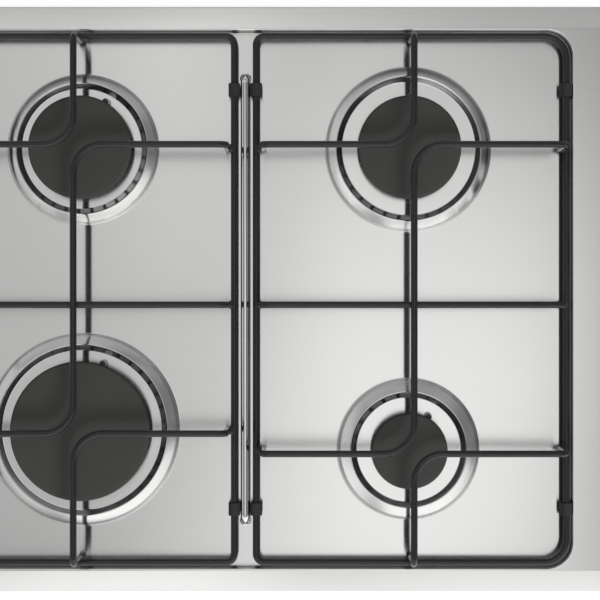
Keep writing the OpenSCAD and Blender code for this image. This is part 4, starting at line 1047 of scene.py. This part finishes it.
@dataclass
class BurnerSet:
    """What stands on each burner seat: spreader, cap and the screws of the cup."""

    recipes: Recipes
    base_t: float = 2.4
    wall: float = 5.0
    height: float = 7.6
    port_w: float = 2.0
    port_h: float = 4.6
    port_bevel: float = 0.25
    skirt_l: float = 4.4
    cup_wall: float = 2.4
    play: float = 0.4
    mixer_r: float = 4.6
    mixer_wall: float = 1.6
    mixer_l: float = 13.0
    cap_t: float = 4.6
    screw_head_r: float = 2.8
    screw_head_h: float = 1.2

    @staticmethod
    def _move(mesh: Mesh, burner: Burner, z: float) -> Mesh:
        """Moves a mesh made about the origin to a burner's axis, and returns it."""
        mesh.transform(Matrix.Translation(Vector((burner.x, burner.y, z)) * MM))
        return mesh

    def _spreader(self, burner: Burner) -> None:
        """Makes a flame spreader: a turned core and the teeth between its ports.

        Args:
            burner: the burner that it belongs to.
        """
        r, mixer = burner.spreader_r, self.mixer_r
        skirt = burner.hole_r - self.play - self.cup_wall - self.play
        tube = mixer + self.mixer_wall
        sill = self.height - self.port_h
        core = Draft()
        core.lathe(
            [
                (r - 0.4, 0.0), (r - 0.1, 0.1), (r, 0.4), (r, sill - 0.2), (r - 0.2, sill),
                (r - self.wall, sill), (r - self.wall, self.base_t),
                (mixer + 0.4, self.base_t), (mixer, self.base_t - 0.4),
                (mixer, -self.mixer_l), (tube, -self.mixer_l), (tube, 0.0),
                (skirt - self.cup_wall, 0.0), (skirt - self.cup_wall, -self.skirt_l),
                (skirt, -self.skirt_l), (skirt, 0.0),
            ],
            96, closed=True,
        )
        half = math.pi / burner.ports - self.port_w / r / 2
        turns = [half * step / 3 for step in range(-3, 4)]
        outline = [(r * math.cos(t), r * math.sin(t)) for t in turns]
        inner = r - self.wall
        outline += [(inner * math.cos(t), inner * math.sin(t)) for t in reversed(turns)]
        tooth = Draft()
        tooth.prism(outline, sill - 0.3, self.height)
        tooth.bevel([
            e for e in tooth.mesh.edges
            if all(v.co.xy.length > r - 0.01 for v in e.verts) and e.calc_face_angle(0) > 1.0
        ], self.port_bevel, 2)
        mesh = self.recipes.around.around(
            core.finish("core"), tooth.finish("tooth"), burner.ports, "cast_aluminium"
        )
        add_piece(
            f"spreader_{burner.name}_ring", self._move(mesh, burner, Z.cup_top),
            f"spreader_{burner.name}", "cast_aluminium", f"flame_spreader_{burner.name}",
        )

    def _cap(self, burner: Burner) -> None:
        """Makes an enamelled cap with a rolled edge and a slightly domed top.

        Args:
            burner: the burner that it belongs to.
        """
        r, top = burner.cap_r, self.cap_t
        rim = burner.spreader_r - self.wall - self.play
        edge = [(r - 4.5, top - 0.12), (r - 1.1, top - 0.3), (r, top - 1.3), (r, 1.2),
                (r - 0.2, 0.25), (r - 0.9, 0.0)]
        draft = Draft()
        draft.lathe(
            [
                (0.0, top), (0.35 * r, top - 0.015), (0.7 * r, top - 0.06), *soften(edge),
                (rim + 0.2, 0.0), (rim, -0.2), (rim, -2.2), (rim - 0.2, -2.4), (rim - 1.8, -2.4),
                (rim - 2.0, -2.2), (rim - 2.0, -0.1), (rim - 2.2, 0.0), (0.0, 0.0),
            ],
            128,
        )
        mesh = self._move(draft.finish("cap", crease=45.0), burner, Z.spreader_top)
        body = f"cap_{burner.name}"
        add_piece(f"{body}_enamelled", mesh, body, "cap_enamel", f"burner_cap_{burner.name}")

    def _screws(self) -> None:
        """Makes the cross-head screws that hold the cups under the sheet."""
        draft = Draft()
        head, r = self.screw_head_h, self.screw_head_r
        draft.lathe(
            [(0.0, head), (0.7, head), (r - 0.9, head - 0.05), (r - 0.2, head - 0.45),
             (r, head - 0.8), (r, 0.0), (1.5, 0.0), (1.5, -3.8), (0.0, -3.8)],
            32,
        )
        for x, y in ((0.175, 1.5), (1.5, 0.175)):
            draft.prism([(-x, -y), (x, -y), (x, y), (-x, y)], head - 0.1, head + 0.12)
        places = [
            ((b.x, b.y + side * b.screw_r, Z.seat), 25.0 * side + b.x)
            for b in BURNERS for side in (-1, 1)
        ]
        mesh = self.recipes.copies.copies(draft.finish("screw"), places, "zinc_screw")
        add_piece("cup_screws", mesh, "hob", "zinc_screw", "burner_screws")

    def build(self) -> None:
        """Makes the pieces of all four burners."""
        for burner in BURNERS:
            self._spreader(burner)
            self._cap(burner)
        self._screws()


class Side(Enum):
    """Which of the two pan supports."""

    LEFT = -1
    RIGHT = 1


@dataclass
class PanSupport:
    """One enamelled wire support with its welds and rubber feet."""

    recipes: Recipes
    side: Side
    offset: float = 119.9
    half_w: float = 112.0
    half_d: float = 189.9
    frame_wire: float = 5.0
    finger_wire: float = 4.8
    outer_r: float = 16.0
    inner_r: float = 6.0
    arc_r: float = 21.0
    riser_r: float = 5.0
    riser_in: float = 4.7
    end_riser_in: float = 3.2
    rear_y: float = 109.0
    cross_y: float = -3.9
    cross_drop: float = 4.6
    bead: Point = (3.1, 2.7, 1.9)
    bead_up: float = 1.4
    foot_y: float = 151.3
    foot_l: float = 9.5
    foot_w: float = 8.4
    foot_stub_w: float = 6.6
    foot_bevel: float = 0.55

    @property
    def front_y(self) -> float:
        """Where the front burner's axis lies along Y."""
        return -94.5 if self.side is Side.LEFT else -108.7

    @property
    def body(self) -> str:
        """The body that the support rides on."""
        return f"support_{self.side.name.lower()}"

    def _at(self, x: float, y: float, z: float) -> Point:
        """A point given from the support's own centreline."""
        return (ROD_X + self.side.value * self.offset + x, y, z)

    def _wires(
        self, part: str, paths: Sequence[WirePath], diameter: float, *replaced: str
    ) -> None:
        """Adds enamelled wires as one piece of the support.

        Args:
            part: the piece's own word in its name.
            paths: the wires' paths.
            diameter: the wires' diameter.
            *replaced: the nodes that it stands for.
        """
        mesh = self.recipes.wire.wires(paths, diameter, "black_enamel")
        add_piece(f"{self.body}_{part}", mesh, self.body, "black_enamel", *replaced)

    def _frame(self) -> None:
        """Makes the closed frame wire that stands in the well."""
        w, d = self.half_w, self.half_d
        left_r, right_r = self.inner_r, self.outer_r
        if self.side is Side.LEFT:
            left_r, right_r = right_r, left_r
        points = [self._at(x, y, Z.ring) for x, y in ((w, d), (w, -d), (-w, -d), (-w, d))]
        path = WirePath(points, [right_r, right_r, left_r, left_r], closed=True)
        self._wires("frame", [path], self.frame_wire, f"pan_{self.body}")

    def _bridge(self, top: float, *turns: Flat) -> WirePath:
        """Makes the path of a wire that rises from the frame, runs level and comes down again.

        Args:
            top: its height.
            *turns: its ends and corners, seen from above.

        Returns:
            The path.
        """
        ends = [(*turn, Z.ring) for turn in (turns[0], turns[-1])]
        points = [ends[0], *((*turn, top) for turn in turns), ends[1]]
        bends = [0, self.riser_r, *[self.arc_r] * (len(turns) - 2), self.riser_r, 0]
        return WirePath([self._at(*point) for point in points], bends)

    def _fingers(self) -> None:
        """Makes the wires that carry the pans and the cross bar.

        Their risers stand towards the frame's inner side, as in the photo.
        """
        w, d = self.half_w - self.riser_in, self.half_d - self.end_riser_in
        rear, front, cross, top = self.rear_y, self.front_y, self.cross_y, Z.finger
        self._wires("fingers", [
            self._bridge(top, (0, d), (0, rear), (-w, rear)),
            self._bridge(top, (w, rear), (0, rear), (0, front), (-w, front)),
            self._bridge(top, (w, front), (0, front), (0, -d)),
            self._bridge(top - self.cross_drop, (w, cross), (-w, cross)),
        ], self.finger_wire)

    def _welds(self) -> None:
        """Makes the enamelled weld beads where the wires meet."""
        draft = Draft()
        bmesh.ops.create_icosphere(draft.mesh, subdivisions=3, radius=1.0)
        bmesh.ops.scale(draft.mesh, vec=self.bead, verts=draft.mesh.verts)
        z, x = Z.ring + self.bead_up, self.half_w - self.riser_in / 2
        rows = (self.rear_y, self.front_y, self.cross_y)
        places = [(self._at(side * x, y, z), 90.0) for side in (-1, 1) for y in rows]
        places += [(self._at(0, end * self.half_d, z), 0.0) for end in (-1, 1)]
        places.append((self._at(0, self.cross_y, Z.finger - self.cross_drop / 2), 45.0))
        mesh = self.recipes.copies.copies(draft.finish("bead"), places, "black_enamel", 80.0)
        add_piece(f"{self.body}_welds", mesh, self.body, "black_enamel")

    def _feet(self) -> None:
        """Makes the rubber feet that are pressed over the frame wire."""
        half, stub = self.foot_w / 2, self.foot_stub_w / 2
        shoulder, foot = -self.frame_wire / 2, Z.floor - Z.ring
        turns = [math.radians(90.0 * i / 7) for i in range(1, 8)]
        section = [
            (-stub, foot), (stub, foot), (stub, shoulder), (half, shoulder), (half, 0.0),
            *((half * math.cos(turn), half * math.sin(turn)) for turn in turns),
            *((-half * math.cos(turn), half * math.sin(turn)) for turn in reversed(turns)),
            (-half, 0.0), (-half, shoulder), (-stub, shoulder),
        ]
        draft = Draft()
        draft.prism(section, -self.foot_l / 2, self.foot_l / 2)
        level = [e for e in draft.mesh.edges if abs(e.verts[0].co.z - e.verts[1].co.z) < 1e-6]
        draft.bevel(level, self.foot_bevel, 3)
        upright = Matrix.Rotation(math.pi / 2, 3, "X")
        bmesh.ops.rotate(draft.mesh, matrix=upright, verts=draft.mesh.verts)
        places = [
            (self._at(x * self.half_w, y * self.foot_y, Z.ring), 0.0)
            for x in (-1, 1) for y in (-1, 1)
        ]
        mesh = self.recipes.copies.copies(draft.finish("foot"), places, "black_rubber")
        word = self.side.name.lower()
        add_piece(f"{self.body}_feet", mesh, self.body, "black_rubber", f"rubber_feet_{word}")

    def build(self) -> None:
        """Makes the support's pieces on its own body."""
        self._frame()
        self._fingers()
        self._welds()
        self._feet()


@dataclass
class CentreRod:
    """The chromed rod between the supports, with its collars."""

    recipes: Recipes
    diameter: float = 6.6
    leg_y: float = 160.45
    leg_bottom: float = -6.3
    bend_r: float = 5.0
    bore_r: float = 3.2
    collar_r: float = 4.1
    collar_h: float = 1.2

    def build(self) -> None:
        """Makes the bent rod and the two collars on the sheet."""
        y, low = self.leg_y, self.leg_bottom
        points = [(ROD_X, -y, low), (ROD_X, -y, Z.ring), (ROD_X, y, Z.ring), (ROD_X, y, low)]
        path = WirePath(points, [0.0, self.bend_r, self.bend_r, 0.0])
        rod = self.recipes.wire.wires([path], self.diameter, "chrome_rod")
        add_piece("chromed_rod", rod, "hob", "chrome_rod", "centre_rod")
        draft = Draft()
        bore, r, h = self.bore_r, self.collar_r, self.collar_h
        for end in (-1, 1):
            draft.lathe(
                [(bore, 0.0), (r, 0.0), (r, h - 0.4), (r - 0.15, h - 0.12), (r - 0.5, h),
                 (bore, h)],
                40, (ROD_X, end * y, Z.floor), closed=True,
            )
        add_piece("rod_collars", draft.finish("collars"), "hob", "chrome_rod")


@dataclass
class KnobColumn:
    """The four knobs and the marks printed beside them."""

    recipes: Recipes
    knob_r: float = 20.0
    grip_r: float = 17.5
    height: float = 21.0
    skirt_h: float = 3.0
    wall: float = 2.4
    ribs: int = 30
    hub: Flat = (3.2, 7.0)
    hub_z: float = 3.2
    pointer_y: float = 10.6
    mark_r: float = 22.4
    plan_x: float = 29.0
    plan_step: float = 1.7
    print_low: float = -0.02
    print_high: float = 0.03

    def _core(self) -> Draft:
        """Turns the knob's shell and its hub.

        Returns:
            The draft of the core.
        """
        grip, h, skirt, inner = self.grip_r, self.height, self.skirt_h, self.height - self.wall
        shoulder = [(grip + 0.5, skirt + 1.0), (grip, h - 3.0), (grip - 0.1, h - 0.6),
                    (grip - 1.5, h), (grip - 4.0, h - 0.1)]
        start = (self.knob_r - self.wall, 0.0)
        outside = [
            start, (self.knob_r - 0.3, 0.0), (self.knob_r, 0.3), (self.knob_r, skirt - 0.5),
            (self.knob_r - 0.4, skirt), (grip + 0.7, skirt + 0.4), *soften(shoulder),
            (grip - 5.5, h - 0.35), (0.0, h - 0.45),
        ]
        inside = [start, (grip - self.wall, skirt + 1.0), (grip - self.wall, inner), (0.0, inner)]
        core = Draft()
        core.lathe(outside, 96)
        core.lathe(inside, 96)
        (bore, hub), low, high = self.hub, self.hub_z, inner + 0.3
        core.lathe([(bore, low), (hub, low), (hub, high), (bore, high)], 40, closed=True)
        return core

    def _rib(self) -> Draft:
        """Makes one grip rib, leaning in at its top.

        Returns:
            The draft of the rib.
        """
        grip, h = self.grip_r, self.height
        half = [(grip - 0.6, -0.55), (grip + 0.1, -0.5), (grip + 0.45, -0.2)]
        rib = Draft()
        rib.prism([*half, *((x, -y) for x, y in reversed(half))], self.skirt_h + 0.6, h - 3.2)
        tips = [v for v in rib.mesh.verts if v.co.z > h - 4 and v.co.x > grip]
        bmesh.ops.translate(rib.mesh, vec=(-0.5, 0, 0), verts=tips)
        return rib

    def _knob(self, name: str, y: float) -> None:
        """Makes one knob with its grip ribs and its pointer.

        Args:
            name: the burner that it works.
            y: where its axis stands along Y.
        """
        mesh = self.recipes.around.around(
            self._core().finish("knob"), self._rib().finish("rib"), self.ribs, "knob_plastic"
        )
        line = Draft()
        outline = rounded_rect(0.0, 0.9, 4.6, 0.85, 0.0, 5)
        top = self.height
        line.prism([(x, along + self.pointer_y) for x, along, _ in outline], top - 0.7, top + 0.12)
        pointer = line.finish("pointer")
        pointer.materials.append(FINISHES["pointer_white"].build())
        for made in (mesh, pointer):
            made.transform(Matrix.Translation(Vector((KNOB_X, y, Z.knob)) * MM))
        body = f"turn_{name}"
        add_piece(f"knob_{name}_grip", mesh, body, "knob_plastic", f"knob_{name}")
        add_piece(f"knob_{name}_pointer", pointer, body, "knob_plastic")

    def _marks(self) -> None:
        """Makes the printed marks: off dot, large and small flame, and the burner plan."""
        draft = Draft()
        low, high = Z.deck + self.print_low, Z.deck + self.print_high
        flame = [(0.0, -1.2), (0.8, -0.5), (0.55, 0.4), (0.0, 1.4), (-0.55, 0.4), (-0.8, -0.5)]
        for name, y in KNOB_ROWS.items():
            draft.prism(flat(circle(KNOB_X, y + self.mark_r + 0.6, 0.8, 0.0, 20)), low, high)
            for turn, size in ((90.0, 0.95), (210.0, 0.65)):
                angle = math.radians(90.0 + turn)
                cx = KNOB_X + self.mark_r * math.cos(angle)
                cy = y + self.mark_r * math.sin(angle)
                draft.prism([(cx + size * px, cy + size * py) for px, py in flame], low, high)
            for burner in BURNERS:
                right = 1 if "right" in burner.name else -1
                rear = 1 if "rear" in burner.name else -1
                cx, cy = KNOB_X + self.plan_x + self.plan_step * right, y + self.plan_step * rear
                if burner.name == name:
                    draft.prism(flat(circle(cx, cy, 1.1, 0.0, 20)), low, high)
                else:
                    loop = [(0.75, low), (1.05, low), (1.05, high), (0.75, high)]
                    draft.lathe(loop, 20, (cx, cy, 0.0), closed=True)
        marks = draft.finish("marks")
        marks.materials.append(FINISHES["print_ink"].build())
        add_piece("printed_marks", marks, "hob", "brushed_top")

    def build(self) -> None:
        """Makes the knobs and the print."""
        for burner in BURNERS:
            self._knob(burner.name, KNOB_ROWS[burner.name])
        self._marks()


def dress_nodes(nodes: Mapping[str, bpy.types.Object]) -> None:
    """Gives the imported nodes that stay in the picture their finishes.

    Args:
        nodes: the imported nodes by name.
    """
    for slot, names in NODE_FINISHES.items():
        for name in names:
            nodes[name].data.materials.clear()
            nodes[name].data.materials.append(FINISHES[slot].build())
        LOG.info("finish %s on %d nodes", slot, len(names))


# ---- Studio ----


@dataclass(frozen=True)
class Panel:
    """A soft box that hangs level over the hob. Its sizes are in units of its height."""

    name: str
    x: float
    y: float
    half_w: float
    half_d: float
    edge_x: float
    edge_y: float
    strength: float
    slant: float = 0.0


@dataclass(frozen=True)
class Wall:
    """Light from low down at one side, between two heights given as sines."""

    name: str
    azimuth: float
    half_angle: float
    low: float
    high: float
    strength: float
    edge_angle: float = 12.0
    edge_sine: float = 0.08


@dataclass
class Studio:
    """Floor, soft boxes, lamp and the camera straight above the hob."""

    camera_at: Point = (1.2, -0.5, 1079.0)
    lens: float = 88.8
    shift_x: float = -0.005
    lamp_at: Point = (900.0, -1400.0, 1900.0)
    lamp_size: float = 1200.0
    lamp_watts: float = 64.0
    base_glow: float = 0.20
    least_height: float = 0.02
    floor_size: float = 8000.0
    floor_colour: tuple[float, ...] = (0.90, 0.90, 0.90, 1.0)
    floor_white: float = 0.71
    floor_mirrored: float = 0.08
    panels: tuple[Panel, ...] = (
        Panel("overhead", 0.0, 0.05, 0.34, 0.55, 0.12, 0.15, 0.02),
        Panel("window_left", 0.105, -0.33, 0.115, 0.42, 0.04, 0.12, 0.52, slant=-0.40),
        Panel("window_right", 0.075, -0.27, 0.115, 0.42, 0.07, 0.14, 0.36, slant=0.16),
        Panel("left_tone", -0.22, 0.24, 0.17, 0.45, 0.06, 0.15, 0.38),
        Panel("mid_rear_tone", -0.03, 0.40, 0.10, 0.35, 0.09, 0.15, 0.23),
        Panel("right_tone", 0.24, -0.25, 0.12, 0.35, 0.10, 0.15, 0.12),
        Panel("rear_left", -0.35, 0.70, 0.50, 0.25, 0.25, 0.12, 0.38),
        Panel("rear_right", 0.45, 0.70, 0.40, 0.25, 0.25, 0.12, 0.27),
        Panel("front", 1.0, -3.2, 1.8, 2.55, 0.30, 0.10, 0.93),
        Panel("front_left_side", -1.9, -3.0, 1.1, 2.4, 0.30, 0.20, 0.40),
    )
    walls: tuple[Wall, ...] = (
        Wall("front_wall", -58.0, 46.0, -0.2, 0.25, 0.8),
        Wall("rear_wall", 112.0, 32.0, -0.2, 0.58, 0.30),
        Wall("left_wall", 190.0, 46.0, -0.2, 0.58, 0.42),
        Wall("right_wall", 58.0, 22.0, -0.2, 0.58, 0.20),
    )

    def _camera(self) -> None:
        """Puts the camera over the hob."""
        data = bpy.data.cameras.new("camera")
        data.lens = self.lens
        data.shift_x = self.shift_x
        camera = link("camera", data)
        camera.location = Vector(self.camera_at) * MM
        bpy.context.scene.camera = camera

    @staticmethod
    def _window(
        sheet: NodeSheet, value: NodeSocket, centre: float, half: float, edge: float
    ) -> NodeSocket:
        """Makes a soft window: 1 in the middle, 0 outside.

        Args:
            sheet: the world's nodes.
            value: what runs across the window.
            centre: its middle.
            half: half its width, to the middle of the soft edge.
            edge: half the width of the soft edge.

        Returns:
            The socket of the window.
        """
        off = sheet.math("ABSOLUTE", sheet.math("SUBTRACT", value, centre))
        inputs = {"Value": off, "From Min": half + edge, "From Max": half - edge}
        return sheet.out("ShaderNodeMapRange", inputs, interpolation_type="SMOOTHSTEP")

    def _world(self) -> None:
        """Hangs the soft boxes and the low walls in the sky of the studio."""
        world = bpy.data.worlds.new("studio")
        world.use_nodes = True
        bpy.context.scene.world = world
        sheet = NodeSheet(world.node_tree)
        way = sheet.add("ShaderNodeTexCoord").outputs["Generated"]
        x, y, z = sheet.add("ShaderNodeSeparateXYZ", {0: way}).outputs
        height = sheet.math("MAXIMUM", z, self.least_height)
        across, along = (sheet.math("DIVIDE", side, height) for side in (x, y))
        round_about = sheet.math("ARCTAN2", y, x)
        lights = []
        for panel in self.panels:
            slanted = sheet.math("MULTIPLY_ADD", along, panel.slant, across)
            in_x = self._window(sheet, slanted, panel.x, panel.half_w, panel.edge_x)
            in_y = self._window(sheet, along, panel.y, panel.half_d, panel.edge_y)
            lights.append((panel, in_x, in_y))
        for wall in self.walls:
            turn = sheet.math("SUBTRACT", round_about, math.radians(wall.azimuth))
            turned = sheet.math("WRAP", turn, math.pi, -math.pi)
            half_angle, edge_angle = math.radians(wall.half_angle), math.radians(wall.edge_angle)
            in_turn = self._window(sheet, turned, 0.0, half_angle, edge_angle)
            middle, half = (wall.low + wall.high) / 2, (wall.high - wall.low) / 2
            lights.append((wall, in_turn, self._window(sheet, z, middle, half, wall.edge_sine)))
        level: Any = self.base_glow
        for light, first, second in lights:
            patch = sheet.math("MULTIPLY", first, second)
            level = sheet.math("MULTIPLY_ADD", patch, light.strength, level)
            level.node.label = light.name
        white = {"Strength": level, "Color": (1.0, 1.0, 1.0, 1.0)}
        glow = sheet.out("ShaderNodeBackground", white)
        sheet.add("ShaderNodeOutputWorld", {"Surface": glow})

    def _floor(self) -> None:
        """Lays the pale floor that the base pan stands on."""
        half = self.floor_size / 2
        draft = Draft()
        corners = ((-half, -half), (half, -half), (half, half), (-half, half))
        draft.fill(draft.ring((x, y, 0) for x, y in corners))
        mesh = draft.finish("studio_floor", open_sheet=True)
        mesh.transform(Matrix.Translation((0, 0, Z.pan_bottom * MM)))
        material, sheet = new_material("studio_floor")
        matt = sheet.out("ShaderNodeBsdfDiffuse", {"Color": self.floor_colour})
        path = sheet.add("ShaderNodeLightPath").outputs
        mirrored = sheet.math("MAXIMUM", path["Is Glossy Ray"], path["Is Transmission Ray"])
        mirrored = sheet.math("MULTIPLY", mirrored, self.floor_mirrored)
        glow = sheet.math("MULTIPLY_ADD", path["Is Camera Ray"], self.floor_white, mirrored)
        lift = sheet.out("ShaderNodeEmission", {"Strength": glow})
        both = sheet.out("ShaderNodeAddShader", {0: matt, 1: lift})
        sheet.add("ShaderNodeOutputMaterial", {"Surface": both})
        mesh.materials.append(material)
        link("studio_floor", mesh)

    def _lamp(self) -> None:
        """Hangs the soft key lamp that faces the hob and casts the floor's shadow."""
        data = bpy.data.lights.new("key", "AREA")
        data.size = self.lamp_size * MM
        data.energy = self.lamp_watts
        lamp = link("key", data)
        lamp.location = Vector(self.lamp_at) * MM
        lamp.rotation_euler = (-lamp.location).to_track_quat("-Z", "Y").to_euler()
        lamp.visible_camera = False
        lamp.visible_glossy = False

    def build(self) -> None:
        """Sets up the camera, the light and the floor."""
        bpy.context.scene.view_settings.view_transform = "Standard"
        self._camera()
        self._world()
        self._floor()
        self._lamp()


def main() -> None:
    """Builds the studio and every sub-assembly round the frame."""
    logging.basicConfig(level=logging.INFO, format="%(name)s: %(message)s")
    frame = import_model()
    Studio().build()
    recipes = Recipes()
    parts: tuple[Any, ...] = (
        TopSheet(),
        BurnerSet(recipes),
        PanSupport(recipes, Side.LEFT),
        PanSupport(recipes, Side.RIGHT),
        CentreRod(recipes),
        KnobColumn(recipes),
    )
    for part in parts:
        part.build()
    dress_nodes(frame["nodes"])


if __name__ == "__main__":
    main()
